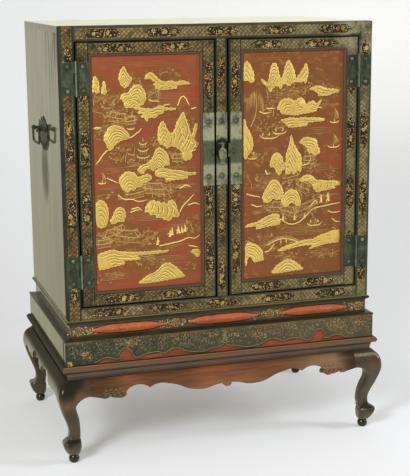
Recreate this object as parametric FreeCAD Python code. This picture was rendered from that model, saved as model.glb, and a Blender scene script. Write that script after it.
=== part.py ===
import FreeCAD
import Part

import math
import os

# A lacquered cabinet with two doors, standing by its moulded base on a low
# hardwood stand with cabriole legs, bulging aprons and small ball feet.
# Axes: +X to the right along the front, +Y towards the back, +Z up.
# Origin: on the floor under the middle of the cabinet. Lengths are millimetres.
# "Outward" always means beyond the cabinet's own side or front face.

Vector = FreeCAD.Vector

# ---- Cabinet body ----------------------------------------------------------
CABINET_WIDTH = 1010.0
CABINET_DEPTH = 626.0
CABINET_HEIGHT = 900.0
BOARD_THICKNESS = 20.0  # sides, top and bottom
BACK_THICKNESS = 12.0
CORNER_ROUND = 2.0  # worn outer edges
SHELF_THICKNESS = 16.0
LOWER_SHELF_HEIGHT = 290.0  # clear space under the lower shelf
UPPER_SHELF_HEIGHT = 270.0  # clear space between the shelves
SHELF_FRONT_GAP = 4.0
BEARER_SECTION = 18.0

# ---- Face frame and mullion ------------------------------------------------
FRAME_STILE_WIDTH = 44.0
FRAME_TOP_RAIL_WIDTH = 44.5
FRAME_BOTTOM_RAIL_WIDTH = 37.0
FRAME_STEP = 3.0  # sunk step round the inside of the frame's front
DOOR_STOP_THICKNESS = 12.0  # lip of the frame behind the doors
DOOR_STOP_LAP = 12.0
DOOR_STOP_GAP = 0.5
MULLION_WIDTH = 36.0
MULLION_RECESS = 7.5
MULLION_FLANGE_WIDTH = 76.0
MULLION_TENON = 10.0
FRAME_TENON_LENGTH = 26.0
FRAME_TENON_THICKNESS = 9.0
TENON_SHOULDER = 5.0

# ---- Doors -----------------------------------------------------------------
DOOR_THICKNESS = 24.0
DOOR_GAP = 5.0  # between the door's edge and the frame
MEETING_GAP = 7.0  # between a door and the mullion
DOOR_STILE_WIDTH = 38.0
DOOR_TOP_RAIL_WIDTH = 34.0
DOOR_BOTTOM_RAIL_WIDTH = 38.0
DOOR_EDGE_ROUND = 1.5
DOOR_TENON_LENGTH = 24.0
PANEL_THICKNESS = 9.0
PANEL_RECESS = 7.0
PANEL_GROOVE_DEPTH = 6.0
PANEL_EDGE_GAP = 1.0  # room for the panel to swell in its groove
BEAD_WIDTH = 8.0
BEAD_LIP = 1.5

# ---- Metalwork -------------------------------------------------------------
PLATE_THICKNESS = 1.5
HINGE_HEIGHT = 100.0
HINGE_INSET_TOP = 105.5  # door's top edge to the upper hinge's middle
HINGE_INSET_BOTTOM = 111.5
HINGE_KNUCKLE_RADIUS = 4.5
HINGE_MIDDLE_KNUCKLE = 34.0
HINGE_KNUCKLE_GAP = 0.3
HINGE_SWING_GAP = 0.5
PIN_RADIUS = 2.0
PIN_HEAD_RADIUS = 3.6
PIN_HEAD_HEIGHT = 3.0
RUNNING_CLEARANCE = 0.05
FRAME_LEAF_REACH = 44.5  # hinge axis to the leaf's outer edge
DOOR_LEAF_REACH = 40.0
NAIL_HEAD_RADIUS = 6.0
NAIL_HEAD_HEIGHT = 3.0
NAIL_SHANK_RADIUS = 1.2
NAIL_SHANK_LENGTH = 12.0
NAIL_INSET = 14.0  # leaf's end to a nail
LOCK_PLATE_WIDTH = 36.0
LOCK_PLATE_HEIGHT = 228.0
LOCK_PLATE_MIDDLE = 514.0  # above the cabinet's bottom
LOCK_PLATE_INSET = 2.0  # door's meeting edge to the plate
LOCK_NAIL_INSET = 28.0
LOCK_TAB_REACH = 8.0  # tab of the right plate across the gap
LOCK_TAB_HEIGHT = 43.0
STAPLE_WIRE_RADIUS = 1.8
STAPLE_SPREAD = 14.0
STAPLE_REACH = 12.0
STAPLE_TAIL = 8.0
STAPLE_DROP = 8.0  # below the lock plate's middle
STAPLE_INSET = 7.2  # lock plate's inner edge to the staple
PULL_STAPLE_SPREAD = 20.0
PULL_STAPLE_REACH = 9.0
PULL_STAPLE_RAISE = 17.0  # above the lock plate's middle
PULL_LENGTH = 67.0
PULL_HALF_WIDTH = 12.5
PULL_THICKNESS = 4.0
PULL_EYE_RADIUS = 4.6
PULL_EYE_WIDTH = 9.0
PULL_NECK_HALF_WIDTH = 3.2

HANDLE_RAISE = 556.0  # above the cabinet's bottom
HANDLE_PLATE_HALF_LENGTH = 75.0
HANDLE_PLATE_HALF_HEIGHT = 50.0
HANDLE_POST_SPREAD = 84.0
HANDLE_POST_RAISE = 10.0  # bail axis above the plate's middle
HANDLE_POST_LENGTH = 24.0
HANDLE_POST_RADIUS = 4.0
HANDLE_POST_FOOT_RADIUS = 9.0
HANDLE_POST_FOOT_HEIGHT = 3.0
HANDLE_KNOB_RADIUS = 8.0
BAIL_RADIUS = 3.5
BAIL_HALF_WIDTH = 56.0
BAIL_DROP = 44.0
BAIL_BEND_RADIUS = 16.0
BAIL_END = 10.0  # how far its ends reach past the knobs' middles

# ---- Base of the cabinet ---------------------------------------------------
SKIRT_HEIGHT = 76.0
SKIRT_BOARD_THICKNESS = 18.0
SKIRT_OUTWARD = 15.0
OVERLAY_THICKNESS = 3.0
LEDGE_HEIGHT = 8.0
LEDGE_OUTWARD = 17.0
FRIEZE_HEIGHT = 38.0
FRIEZE_BOARD_THICKNESS = 16.0
FRIEZE_INWARD = 4.5  # the frieze stands back behind the cabinet's face
CAP_HEIGHT = 18.0
CAP_OUTWARD = 6.0
CAP_NOSE = 3.0
CAP_INNER = 30.0  # how far the cap ring reaches in under the cabinet
BASE_BEARER_WIDTH = 40.0
BASE_BEARER_HEIGHT = 38.0
BASE_BEARER_SPACING = 500.0

# ---- Stand -----------------------------------------------------------------
LEG_TOP = 276.0  # floor to the underside of the waist
BALL_RADIUS = 17.0
BALL_HEIGHT = 26.0
BALL_PIN_RADIUS = 6.0
BALL_PIN_LENGTH = 14.0
BALL_INWARD = 6.0  # cabinet's corner to the ball's middle, along each side
TOE_SOLE_WIDTH = 30.0
TOE_SOLE_CORNER = 12.0
LEG_SHOULDER = 55.0  # cabinet's face to where the apron butts on the leg
LEG_POST_WIDTH = 44.0  # square post behind the waist
APRON_THICKNESS = 22.0
APRON_SETBACK = 0.6  # leg's face to the apron's face
WAIST_HEIGHT = 14.0
WAIST_THICKNESS = 17.0
WAIST_OUTWARD = 9.0
WAIST_LOWER_BEAD = 2.0  # how far the beads at the waist's edges stand out
WAIST_UPPER_BEAD = 1.5
TOP_FRAME_HEIGHT = 32.0
TOP_FRAME_OUTWARD = 28.0
TOP_FRAME_INNER = 45.0
TOP_FRAME_SOFFIT_INSET = 17.0  # nose of the moulding to the foot of its cove
TOP_FRAME_COVE_WIDTH = 11.0
TOP_FRAME_COVE_CURL = 3.0
TOP_FRAME_FILLET = 3.0
TOP_FRAME_ROUND = 10.0  # nose to the start of the flat top
CROSS_RAIL_WIDTH = 50.0
CROSS_RAIL_HEIGHT = 24.0
CROSS_RAIL_SPACING = 340.0

# Sections of a leg from low in the toe to the waist: share of the leg's height,
# outward reach, width of the square section, radius of its corners.
LEG_SECTIONS = [
    (0.217, 15.0, 38.0, 10.0),
    (0.319, 9.5, 37.0, 10.0),
    (0.390, 9.0, 37.0, 10.0),
    (0.471, 15.0, 41.0, 11.0),
    (0.587, 27.5, 46.0, 12.0),
    (0.703, 38.0, 49.0, 12.0),
    (0.783, 43.0, 58.0, 13.0),
    (0.841, 43.0, 65.0, 14.0),
    (0.906, 39.0, 69.0, 14.0),
    (0.957, 30.0, 65.0, 13.0),
    (1.000, 17.0, 54.0, 11.0),
]
# The toe above its sole: height, outward reach, width, corner radius.
TOE_SECTIONS = [
    (12.0, 19.5, 46.0, 15.0),
    (27.0, 27.0, 55.0, 16.0),
    (40.0, 29.5, 57.0, 15.0),
    (46.0, 28.0, 54.0, 14.0),
]
TOE_SHOULDER = (53.0, 15.0, 42.0, 9.0)  # top of the toe's sloping upper face

# Lower edge of an apron, each point with its drop below the leg's top. A pair of
# points is an arc by way of the first to the second. The end part is measured
# from the shoulder of the leg. The middle parts are shares of the stretch from
# the middle of the apron to the end part.
APRON_END_EDGE = [
    (0.0, 50.0),
    ((20.0, 54.5), (38.0, 59.0)),
    ((51.0, 61.0), (62.0, 55.5)),
    ((74.0, 60.5), (88.0, 62.5)),
    ((108.0, 62.0), (117.0, 54.0)),
    (114.0, 47.0),
    (121.0, 38.0),
    ((151.0, 27.5), (192.0, 40.0)),
]
LONG_APRON_EDGE = [
    ((0.900, 30.5), (0.775, 33.0)),
    ((0.650, 41.0), (0.543, 53.5)),
    ((0.388, 63.5), (0.233, 61.0)),
    ((0.155, 55.0), (0.085, 52.5)),
    (0.050, 52.5),
    ((0.039, 61.0), (0.0, 64.0)),
]
SHORT_APRON_EDGE = [
    ((0.667, 31.0), (0.394, 40.0)),
    ((0.258, 47.5), (0.136, 50.0)),
    ((0.106, 57.0), (0.0, 60.0)),
]
# Curve of the leg's shoulder, from the apron down into the leg.
SHOULDER_REACH = 47.0
SHOULDER_DROP = 82.0
SHOULDER_VIA = (30.0, 59.0)

# Lower edge of the black overlay on the skirt, from its end to its middle, as
# (distance from the middle, height above the skirt's bottom).
OVERLAY_END_HEIGHT = 1.0
OVERLAY_EDGE = [
    (431.0, 1.0),
    ((418.0, 3.5), (407.0, 10.0)),
    ((382.0, 12.0), (359.0, 5.0)),
    ((349.0, 6.5), (342.0, 12.0)),
    ((350.0, 19.0), (347.0, 26.0)),
    ((331.0, 39.0), (312.0, 28.0)),
    ((304.0, 12.0), (290.0, 3.0)),
    ((268.0, 11.0), (240.0, 15.5)),
    ((222.0, 15.5), (204.0, 9.0)),
    ((182.0, 18.0), (155.0, 21.5)),
    ((146.0, 18.0), (134.0, 11.0)),
    ((120.0, 6.5), (107.0, 4.0)),
    ((80.0, 1.5), (57.0, 5.0)),
    ((42.0, 10.5), (29.0, 11.5)),
    (16.0, 13.0),
    ((7.0, 17.0), (0.0, 24.0)),
]

# Back plate of a side handle, a quarter of its cusped outline from the spike on
# top to the spike at its end, as shares of its half length and half height.
HANDLE_PLATE_EDGE = [
    (0.0, 1.0),
    ((0.04, 0.80), (0.13, 0.66)),
    ((0.27, 0.80), (0.40, 0.66)),
    (0.52, 0.86),
    ((0.55, 0.62), (0.66, 0.52)),
    ((0.80, 0.44), (0.80, 0.22)),
    (1.0, 0.0),
]

# ---- Levels and planes worked out from the sizes above -----------------------
HALF_WIDTH = CABINET_WIDTH / 2
HALF_DEPTH = CABINET_DEPTH / 2
WAIST_TOP = LEG_TOP + WAIST_HEIGHT
STAND_TOP = WAIST_TOP + TOP_FRAME_HEIGHT
SKIRT_TOP = STAND_TOP + SKIRT_HEIGHT
LEDGE_TOP = SKIRT_TOP + LEDGE_HEIGHT
FRIEZE_TOP = LEDGE_TOP + FRIEZE_HEIGHT
CABINET_BOTTOM = FRIEZE_TOP + CAP_HEIGHT
CABINET_TOP = CABINET_BOTTOM + CABINET_HEIGHT

FRONT = -HALF_DEPTH
DOOR_BACK = FRONT + DOOR_THICKNESS
STOP_FACE = DOOR_BACK + DOOR_STOP_GAP
FRAME_BACK = STOP_FACE + DOOR_STOP_THICKNESS
BACK_FACE = HALF_DEPTH - BACK_THICKNESS
SIDE_INNER = HALF_WIDTH - BOARD_THICKNESS
FRAME_INNER = HALF_WIDTH - FRAME_STILE_WIDTH
FRAME_OPENING_BOTTOM = CABINET_BOTTOM + FRAME_BOTTOM_RAIL_WIDTH
FRAME_OPENING_TOP = CABINET_TOP - FRAME_TOP_RAIL_WIDTH
MULLION_HALF = MULLION_WIDTH / 2
MULLION_FACE = FRONT + MULLION_RECESS

DOOR_OUTER = FRAME_INNER - DOOR_GAP
DOOR_INNER = MULLION_HALF + MEETING_GAP
DOOR_BOTTOM = FRAME_OPENING_BOTTOM + DOOR_GAP
DOOR_TOP = FRAME_OPENING_TOP - DOOR_GAP
PANEL_FACE = FRONT + PANEL_RECESS
PANEL_BACK = PANEL_FACE + PANEL_THICKNESS

HINGE_AXIS_X = FRAME_INNER - DOOR_GAP / 2
HINGE_AXIS_Y = FRONT - HINGE_KNUCKLE_RADIUS
HINGE_BOTTOMS = [
    DOOR_BOTTOM + HINGE_INSET_BOTTOM - HINGE_HEIGHT / 2,
    DOOR_TOP - HINGE_INSET_TOP - HINGE_HEIGHT / 2,
]
LOCK_MIDDLE = CABINET_BOTTOM + LOCK_PLATE_MIDDLE
LOCK_BOTTOM = LOCK_MIDDLE - LOCK_PLATE_HEIGHT / 2
LOCK_TOP = LOCK_MIDDLE + LOCK_PLATE_HEIGHT / 2

BEYOND = 1.0  # how far a cutting block runs past the face that it opens

parts = {}


def add(name, *shapes):
    """Puts the solids of the shapes into the named node."""
    for shape in shapes:
        parts.setdefault(name, []).extend(shape.Solids)


# ---- Shapes that several pieces use ----------------------------------------
def block(x, y, z):
    """Box between the low and high values of x, y and z."""
    corner = Vector(x[0], y[0], z[0])
    return Part.makeBox(x[1] - x[0], y[1] - y[0], z[1] - z[0], corner)


def mirror_x(shape):
    """The same shape on the other side of the cabinet's middle."""
    return shape.mirror(Vector(0, 0, 0), Vector(1, 0, 0))


def mirror_y(shape):
    """The same shape on the other side of the plane half way from front to back."""
    return shape.mirror(Vector(0, 0, 0), Vector(0, 1, 0))


def both_sides(shape):
    """The shape and its mirror image across the cabinet's middle."""
    return [shape, mirror_x(shape)]


def turned(shape, axis, degrees):
    """A copy turned about an axis through the origin."""
    copy = shape.copy()
    copy.rotate(Vector(0, 0, 0), axis, degrees)
    return copy


def moved(shape, x, y, z):
    """A copy moved by x, y and z."""
    copy = shape.copy()
    copy.translate(Vector(x, y, z))
    return copy


def eased(shape, radius, picked):
    """Rounds the straight edges whose middle the test picks."""
    edges = [edge for edge in shape.Edges if picked(edge.CenterOfMass)]
    return shape.makeFillet(radius, edges)


def edges_along(points, place):
    """Edges from point to point. A pair of points is an arc by way of the first."""
    edges = []
    start = points[0]
    for step in points[1:]:
        if isinstance(step[0], tuple):
            via, end = step
            arc = Part.Arc(place(*start), place(*via), place(*end))
            edges.append(arc.toShape())
        else:
            end = step
            edges.append(Part.makeLine(place(*start), place(*end)))
        start = end
    return edges


def mitred_run(half_length, distance, outline):
    """A moulding along X whose outline (outward, up) faces -Y at y = -distance."""

    def place(outward, up):
        return Vector(0, -distance - outward, up)

    face = Part.Face(Part.Wire(edges_along(outline + [outline[0]], place)))
    bounds = face.BoundBox
    front = -bounds.YMin - distance
    inner = -bounds.YMax - distance
    straight = face.extrude(Vector(2 * (half_length + front), 0, 0))
    straight.translate(Vector(-half_length - front, 0, 0))
    corners = [
        Vector(-half_length - front, bounds.YMin, bounds.ZMin),
        Vector(half_length + front, bounds.YMin, bounds.ZMin),
        Vector(half_length + inner, bounds.YMax, bounds.ZMin),
        Vector(-half_length - inner, bounds.YMax, bounds.ZMin),
    ]
    plan = Part.Face(Part.makePolygon(corners + [corners[0]]))
    wedge = plan.extrude(Vector(0, 0, bounds.ZLength))
    return straight.common(wedge)


def mitred_ring(half_x, half_y, outline):
    """Four mitred lengths round a rectangle, the outline facing outwards."""
    up = Vector(0, 0, 1)
    long_run = mitred_run(half_x, half_y, outline)
    short_run = mitred_run(half_y, half_x, outline)
    return [
        long_run,
        turned(short_run, up, 90),
        turned(long_run, up, 180),
        turned(short_run, up, 270),
    ]


def rod(points, bend_radii, radius):
    """A round rod along points, with a bend of its own radius at each inner point."""
    edges = []
    start = points[0]
    for previous, corner, following, bend in zip(points, points[1:], points[2:], bend_radii):
        arriving = (corner - previous).normalize()
        leaving = (following - corner).normalize()
        half_turn = arriving.getAngle(leaving) / 2
        setback = bend * math.tan(half_turn)
        bend_in = corner - arriving * setback
        bend_out = corner + leaving * setback
        towards_centre = (leaving - arriving).normalize()
        crown = corner + towards_centre * (bend / math.cos(half_turn) - bend)
        edges.append(Part.makeLine(start, bend_in))
        edges.append(Part.Arc(bend_in, crown, bend_out).toShape())
        start = bend_out
    edges.append(Part.makeLine(start, points[-1]))
    section = Part.makeCircle(radius, points[0], points[1] - points[0])
    return Part.Wire(edges).makePipeShell([Part.Wire(section)], True, False)


def facing_front(shape, x, y, z):
    """Turns a shape that stands up along +Z to point out of the front, and places it."""
    return moved(turned(shape, Vector(1, 0, 0), 90), x, y, z)


def nail():
    """Domed nail standing along +Z, its head seated at z = 0."""
    middle_angle = math.atan(NAIL_HEAD_HEIGHT / NAIL_HEAD_RADIUS)
    dome_radius = NAIL_HEAD_RADIUS / math.sin(2 * middle_angle)
    dome_centre = NAIL_HEAD_HEIGHT - dome_radius
    crown = Vector(0, 0, NAIL_HEAD_HEIGHT)
    via = Vector(
        dome_radius * math.sin(middle_angle),
        0,
        dome_centre + dome_radius * math.cos(middle_angle),
    )
    rim = Vector(NAIL_HEAD_RADIUS, 0, 0)
    neck = Vector(NAIL_SHANK_RADIUS, 0, 0)
    tip = Vector(NAIL_SHANK_RADIUS, 0, -NAIL_SHANK_LENGTH)
    end = Vector(0, 0, -NAIL_SHANK_LENGTH)
    outline = [
        Part.Arc(crown, via, rim).toShape(),
        Part.makeLine(rim, neck),
        Part.makeLine(neck, tip),
        Part.makeLine(tip, end),
        Part.makeLine(end, crown),
    ]
    face = Part.Face(Part.Wire(outline))
    return face.revolve(Vector(0, 0, 0), Vector(0, 0, 1), 360)


def nails_at(spots, surface):
    """Nails driven from the front at the spots (x, z), heads seated on the surface."""
    return [facing_front(nail(), x, surface, z) for x, z in spots]


def drilled(shape, spots, surface, radius=NAIL_SHANK_RADIUS, depth=NAIL_SHANK_LENGTH):
    """The shape with holes from the front at the spots (x, z), depth below the surface."""
    holes = [
        Part.makeCylinder(radius, depth, Vector(x, surface, z), Vector(0, 1, 0))
        for x, z in spots
    ]
    return shape.cut(Part.makeCompound(holes))


# ---- Stand -----------------------------------------------------------------
def leg_section(level, outward, width, corner):
    """Rounded square wire of the front right leg at one level."""
    high_x = HALF_WIDTH + outward
    low_x = high_x - width
    low_y = FRONT - outward
    high_y = low_y + width
    cut = corner * (1 - math.sqrt(0.5))
    outline = [
        (low_x + corner, low_y),
        (high_x - corner, low_y),
        ((high_x - cut, low_y + cut), (high_x, low_y + corner)),
        (high_x, high_y - corner),
        ((high_x - cut, high_y - cut), (high_x - corner, high_y)),
        (low_x + corner, high_y),
        ((low_x + cut, high_y - cut), (low_x, high_y - corner)),
        (low_x, low_y + corner),
        ((low_x + cut, low_y + cut), (low_x + corner, low_y)),
    ]
    return Part.Wire(edges_along(outline, lambda x, y: Vector(x, y, level)))


def apron_face():
    """Cross-section of an apron at x = 0: it bulges as the legs' knees do, just behind them."""
    front = []
    for share, outward, width, corner in LEG_SECTIONS:
        front.append(Vector(0, FRONT - outward + APRON_SETBACK, share * LEG_TOP))
    back = [point + Vector(0, APRON_THICKNESS, 0) for point in front]
    front_curve = Part.BSplineCurve()
    front_curve.interpolate(front)
    back_curve = Part.BSplineCurve()
    back_curve.interpolate(back)
    edges = [
        front_curve.toShape(),
        Part.makeLine(front[-1], back[-1]),
        back_curve.toShape(),
        Part.makeLine(back[0], front[0]),
    ]
    return Part.Face(Part.Wire(edges))


def apron_length(low_x, high_x):
    """The apron's cross-section drawn out from low_x to high_x."""
    return moved(apron_face(), low_x, 0, 0).extrude(Vector(high_x - low_x, 0, 0))


def along_apron(steps, distance):
    """Points of an apron's edge with the distances that the rule gives them."""
    placed = []
    for step in steps:
        if isinstance(step[0], tuple):
            placed.append(tuple((distance(along), drop) for along, drop in step))
        else:
            placed.append((distance(step[0]), step[1]))
    return placed


def apron(half_length, middle_edge):
    """A front apron cut to its scalloped lower edge."""
    middle_half = half_length - APRON_END_EDGE[-1][1][0]
    right = along_apron(APRON_END_EDGE, lambda along: half_length - along)
    right.extend(along_apron(middle_edge, lambda share: share * middle_half))
    far = FRONT - HALF_DEPTH

    def place_right(x, drop):
        return Vector(x, far, LEG_TOP - drop)

    def place_left(x, drop):
        return Vector(-x, far, LEG_TOP - drop)

    top_right = Vector(half_length, far, LEG_TOP)
    top_left = Vector(-half_length, far, LEG_TOP)
    edges = edges_along(right, place_right) + edges_along(right, place_left)
    edges.append(Part.makeLine(top_left, top_right))
    edges.append(Part.makeLine(top_right, place_right(*right[0])))
    edges.append(Part.makeLine(top_left, place_left(*right[0])))
    outline = Part.Wire(Part.__sortEdges__(edges))
    silhouette = Part.Face(outline).extrude(Vector(0, CABINET_DEPTH, 0))
    return apron_length(-half_length, half_length).common(silhouette)


def leg_shoulder():
    """Part of the front apron's line that grows out of the front right leg."""
    butt = HALF_WIDTH - LEG_SHOULDER
    spring = (butt + SHOULDER_REACH, LEG_TOP - SHOULDER_DROP)
    via = (butt + SHOULDER_VIA[0], LEG_TOP - SHOULDER_VIA[1])
    apron_drop = APRON_END_EDGE[0][1]
    outline = [
        (butt, LEG_TOP),
        (butt, LEG_TOP - apron_drop),
        (via, spring),
        (HALF_WIDTH, LEG_TOP - SHOULDER_DROP),
        (HALF_WIDTH, LEG_TOP),
        (butt, LEG_TOP),
    ]
    far = FRONT - HALF_DEPTH
    edges = edges_along(outline, lambda x, z: Vector(x, far, z))
    silhouette = Part.Face(Part.Wire(edges)).extrude(Vector(0, CABINET_DEPTH, 0))
    return apron_length(butt, HALF_WIDTH).common(silhouette)


def ball_centre():
    """(x, y) of the front right ball foot, under the middle of the toe."""
    return HALF_WIDTH - BALL_INWARD, FRONT + BALL_INWARD


def front_right_leg():
    """Cabriole leg with its toe, its shoulders and the post behind the waist."""
    shank = Part.makeLoft(
        [leg_section(share * LEG_TOP, *rest) for share, *rest in LEG_SECTIONS], True
    )
    sole_outward = TOE_SOLE_WIDTH / 2 - BALL_INWARD
    toe_wires = [leg_section(BALL_HEIGHT, sole_outward, TOE_SOLE_WIDTH, TOE_SOLE_CORNER)]
    for height, *rest in TOE_SECTIONS:
        toe_wires.append(leg_section(BALL_HEIGHT + height, *rest))
    toe = Part.makeLoft(toe_wires, True)
    height, *rest = TOE_SHOULDER
    toe_top = leg_section(BALL_HEIGHT + height, *rest)
    toe_slope = Part.makeLoft([toe_wires[-1], toe_top], True, True)
    shoulder = leg_shoulder()
    corner = Vector(HALF_WIDTH, FRONT, 0)
    other_shoulder = shoulder.mirror(corner, Vector(1, 1, 0))
    post_outer = WAIST_OUTWARD - WAIST_THICKNESS
    post_x = HALF_WIDTH + post_outer
    post_y = FRONT - post_outer
    post = block(
        (post_x - LEG_POST_WIDTH, post_x),
        (post_y, post_y + LEG_POST_WIDTH),
        (LEG_TOP, WAIST_TOP),
    )
    leg = shank.fuse([toe, toe_slope, shoulder, other_shoulder, post])
    x, y = ball_centre()
    socket = Part.makeCylinder(
        BALL_PIN_RADIUS, BALL_PIN_LENGTH, Vector(x, y, BALL_HEIGHT)
    )
    return leg.cut(socket).removeSplitter()


def front_right_ball():
    """Turned ball foot with flats at the floor and the toe, and its dowel."""
    x, y = ball_centre()
    middle = Vector(x, y, BALL_HEIGHT / 2)
    ball = Part.makeSphere(BALL_RADIUS, middle)
    slab = block(
        (x - BALL_RADIUS, x + BALL_RADIUS),
        (y - BALL_RADIUS, y + BALL_RADIUS),
        (0, BALL_HEIGHT),
    )
    dowel = Part.makeCylinder(
        BALL_PIN_RADIUS, BALL_PIN_LENGTH, Vector(x, y, BALL_HEIGHT)
    )
    return ball.common(slab).fuse(dowel).removeSplitter()


def build_stand():
    leg = front_right_leg()
    add("stand_leg_front_right", leg)
    add("stand_leg_front_left", mirror_x(leg))
    add("stand_leg_back_right", mirror_y(leg))
    add("stand_leg_back_left", mirror_x(mirror_y(leg)))
    ball = front_right_ball()
    add("stand_ball_feet", *both_sides(ball), *both_sides(mirror_y(ball)))

    up = Vector(0, 0, 1)
    long_apron = apron(HALF_WIDTH - LEG_SHOULDER, LONG_APRON_EDGE)
    add("stand_apron_front", long_apron)
    add("stand_apron_back", turned(long_apron, up, 180))
    short_apron = apron(HALF_DEPTH - LEG_SHOULDER, SHORT_APRON_EDGE)
    side_apron = moved(turned(short_apron, up, 90), HALF_WIDTH - HALF_DEPTH, 0, 0)
    add("stand_apron_right", side_apron)
    add("stand_apron_left", mirror_x(side_apron))

    waist_inner = WAIST_OUTWARD - WAIST_THICKNESS
    waist_outline = [
        (waist_inner, 0.0),
        (WAIST_OUTWARD + WAIST_LOWER_BEAD, 0.0),
        (WAIST_OUTWARD + WAIST_LOWER_BEAD, 0.22 * WAIST_HEIGHT),
        (WAIST_OUTWARD, 0.30 * WAIST_HEIGHT),
        (WAIST_OUTWARD, 0.76 * WAIST_HEIGHT),
        (WAIST_OUTWARD + WAIST_UPPER_BEAD, 0.80 * WAIST_HEIGHT),
        (WAIST_OUTWARD + WAIST_UPPER_BEAD, WAIST_HEIGHT),
        (waist_inner, WAIST_HEIGHT),
    ]
    for run in mitred_ring(HALF_WIDTH, HALF_DEPTH, waist_outline):
        add("stand_waist", moved(run, 0, 0, LEG_TOP))

    nose = TOP_FRAME_OUTWARD
    soffit = nose - TOP_FRAME_SOFFIT_INSET
    cove = (soffit + TOP_FRAME_COVE_CURL, 0.29 * TOP_FRAME_HEIGHT)
    cove_top = (soffit + TOP_FRAME_COVE_WIDTH, 0.42 * TOP_FRAME_HEIGHT)
    fillet = nose - TOP_FRAME_FILLET
    shoulder = (fillet - TOP_FRAME_FILLET, 0.96 * TOP_FRAME_HEIGHT)
    frame_outline = [
        (-TOP_FRAME_INNER, 0.0),
        (soffit, 0.0),
        (soffit, 0.08 * TOP_FRAME_HEIGHT),
        (cove, cove_top),
        (fillet, 0.42 * TOP_FRAME_HEIGHT),
        (fillet, 0.48 * TOP_FRAME_HEIGHT),
        ((nose, 0.66 * TOP_FRAME_HEIGHT), (fillet, 0.86 * TOP_FRAME_HEIGHT)),
        (shoulder, (nose - TOP_FRAME_ROUND, TOP_FRAME_HEIGHT)),
        (-TOP_FRAME_INNER, TOP_FRAME_HEIGHT),
    ]
    for run in mitred_ring(HALF_WIDTH, HALF_DEPTH, frame_outline):
        add("stand_top_frame", moved(run, 0, 0, WAIST_TOP))

    rail_end = HALF_DEPTH - TOP_FRAME_INNER
    rail = block(
        (CROSS_RAIL_SPACING / 2 - CROSS_RAIL_WIDTH / 2,
         CROSS_RAIL_SPACING / 2 + CROSS_RAIL_WIDTH / 2),
        (-rail_end, rail_end),
        (STAND_TOP - CROSS_RAIL_HEIGHT, STAND_TOP),
    )
    add("stand_cross_rails", *both_sides(rail))


# ---- Base of the cabinet ---------------------------------------------------
def build_base():
    front_face = FRONT - SKIRT_OUTWARD
    ground_face = front_face + OVERLAY_THICKNESS
    board_back = front_face + SKIRT_BOARD_THICKNESS
    side_face = HALF_WIDTH + SKIRT_OUTWARD
    side_back = side_face - SKIRT_BOARD_THICKNESS
    level = (STAND_TOP, SKIRT_TOP)
    add("base_skirt_front", block((-side_back, side_back), (ground_face, board_back), level))
    side_board = block((side_back, side_face), (ground_face, -front_face), level)
    back_board = block((-side_back, side_back), (-board_back, -front_face), level)
    add("base_skirt_boards", *both_sides(side_board), back_board)

    def place_right(x, height):
        return Vector(x, front_face, STAND_TOP + height)

    def place_left(x, height):
        return Vector(-x, front_face, STAND_TOP + height)

    half_edge = [(side_face, SKIRT_HEIGHT), (side_face, OVERLAY_END_HEIGHT)]
    half_edge.extend(OVERLAY_EDGE)
    edges = edges_along(half_edge, place_right) + edges_along(half_edge, place_left)
    edges.append(Part.makeLine(place_left(*half_edge[0]), place_right(*half_edge[0])))
    outline = Part.Wire(Part.__sortEdges__(edges))
    overlay = Part.Face(outline).extrude(Vector(0, OVERLAY_THICKNESS, 0))
    add("base_skirt_overlay", overlay)

    frieze_back = -FRIEZE_INWARD - FRIEZE_BOARD_THICKNESS
    ledge_inner = frieze_back - BEYOND
    nose = 0.3 * LEDGE_HEIGHT
    ledge_outline = [
        (ledge_inner, 0.0),
        (LEDGE_OUTWARD - nose, 0.0),
        ((LEDGE_OUTWARD, nose), (LEDGE_OUTWARD - nose, 2 * nose)),
        (-FRIEZE_INWARD, LEDGE_HEIGHT),
        (ledge_inner, LEDGE_HEIGHT),
    ]
    for run in mitred_ring(HALF_WIDTH, HALF_DEPTH, ledge_outline):
        add("base_ledge", moved(run, 0, 0, SKIRT_TOP))

    frieze_outline = [
        (frieze_back, 0.0),
        (-FRIEZE_INWARD, 0.0),
        (-FRIEZE_INWARD, FRIEZE_HEIGHT),
        (frieze_back, FRIEZE_HEIGHT),
    ]
    front, *others = mitred_ring(HALF_WIDTH, HALF_DEPTH, frieze_outline)
    add("base_frieze_front", moved(front, 0, 0, LEDGE_TOP))
    for run in others:
        add("base_frieze_boards", moved(run, 0, 0, LEDGE_TOP))

    fillet = CAP_OUTWARD - CAP_NOSE
    cap_outline = [
        (-CAP_INNER, 0.0),
        (-FRIEZE_INWARD, 0.0),
        ((-FRIEZE_INWARD / 2, 0.22 * CAP_HEIGHT), (fillet, 0.36 * CAP_HEIGHT)),
        (fillet, 0.44 * CAP_HEIGHT),
        ((CAP_OUTWARD, 0.64 * CAP_HEIGHT), (fillet, 0.86 * CAP_HEIGHT)),
        (0.0, CAP_HEIGHT),
        (-CAP_INNER, CAP_HEIGHT),
    ]
    for run in mitred_ring(HALF_WIDTH, HALF_DEPTH, cap_outline):
        add("base_cap_moulding", moved(run, 0, 0, FRIEZE_TOP))

    bearer_end = HALF_DEPTH - CAP_INNER
    bearer = block(
        (BASE_BEARER_SPACING / 2 - BASE_BEARER_WIDTH / 2,
         BASE_BEARER_SPACING / 2 + BASE_BEARER_WIDTH / 2),
        (-bearer_end, bearer_end),
        (CABINET_BOTTOM - BASE_BEARER_HEIGHT, CABINET_BOTTOM),
    )
    add("base_bearers", *both_sides(bearer))


# ---- Cabinet body ----------------------------------------------------------
def cabinet_envelope():
    """The cabinet's outside with its upright and top edges rounded."""
    whole = block((-HALF_WIDTH, HALF_WIDTH), (FRONT, HALF_DEPTH), (CABINET_BOTTOM, CABINET_TOP))
    return eased(whole, CORNER_ROUND, lambda middle: middle.z > CABINET_BOTTOM + BEYOND)


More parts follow.
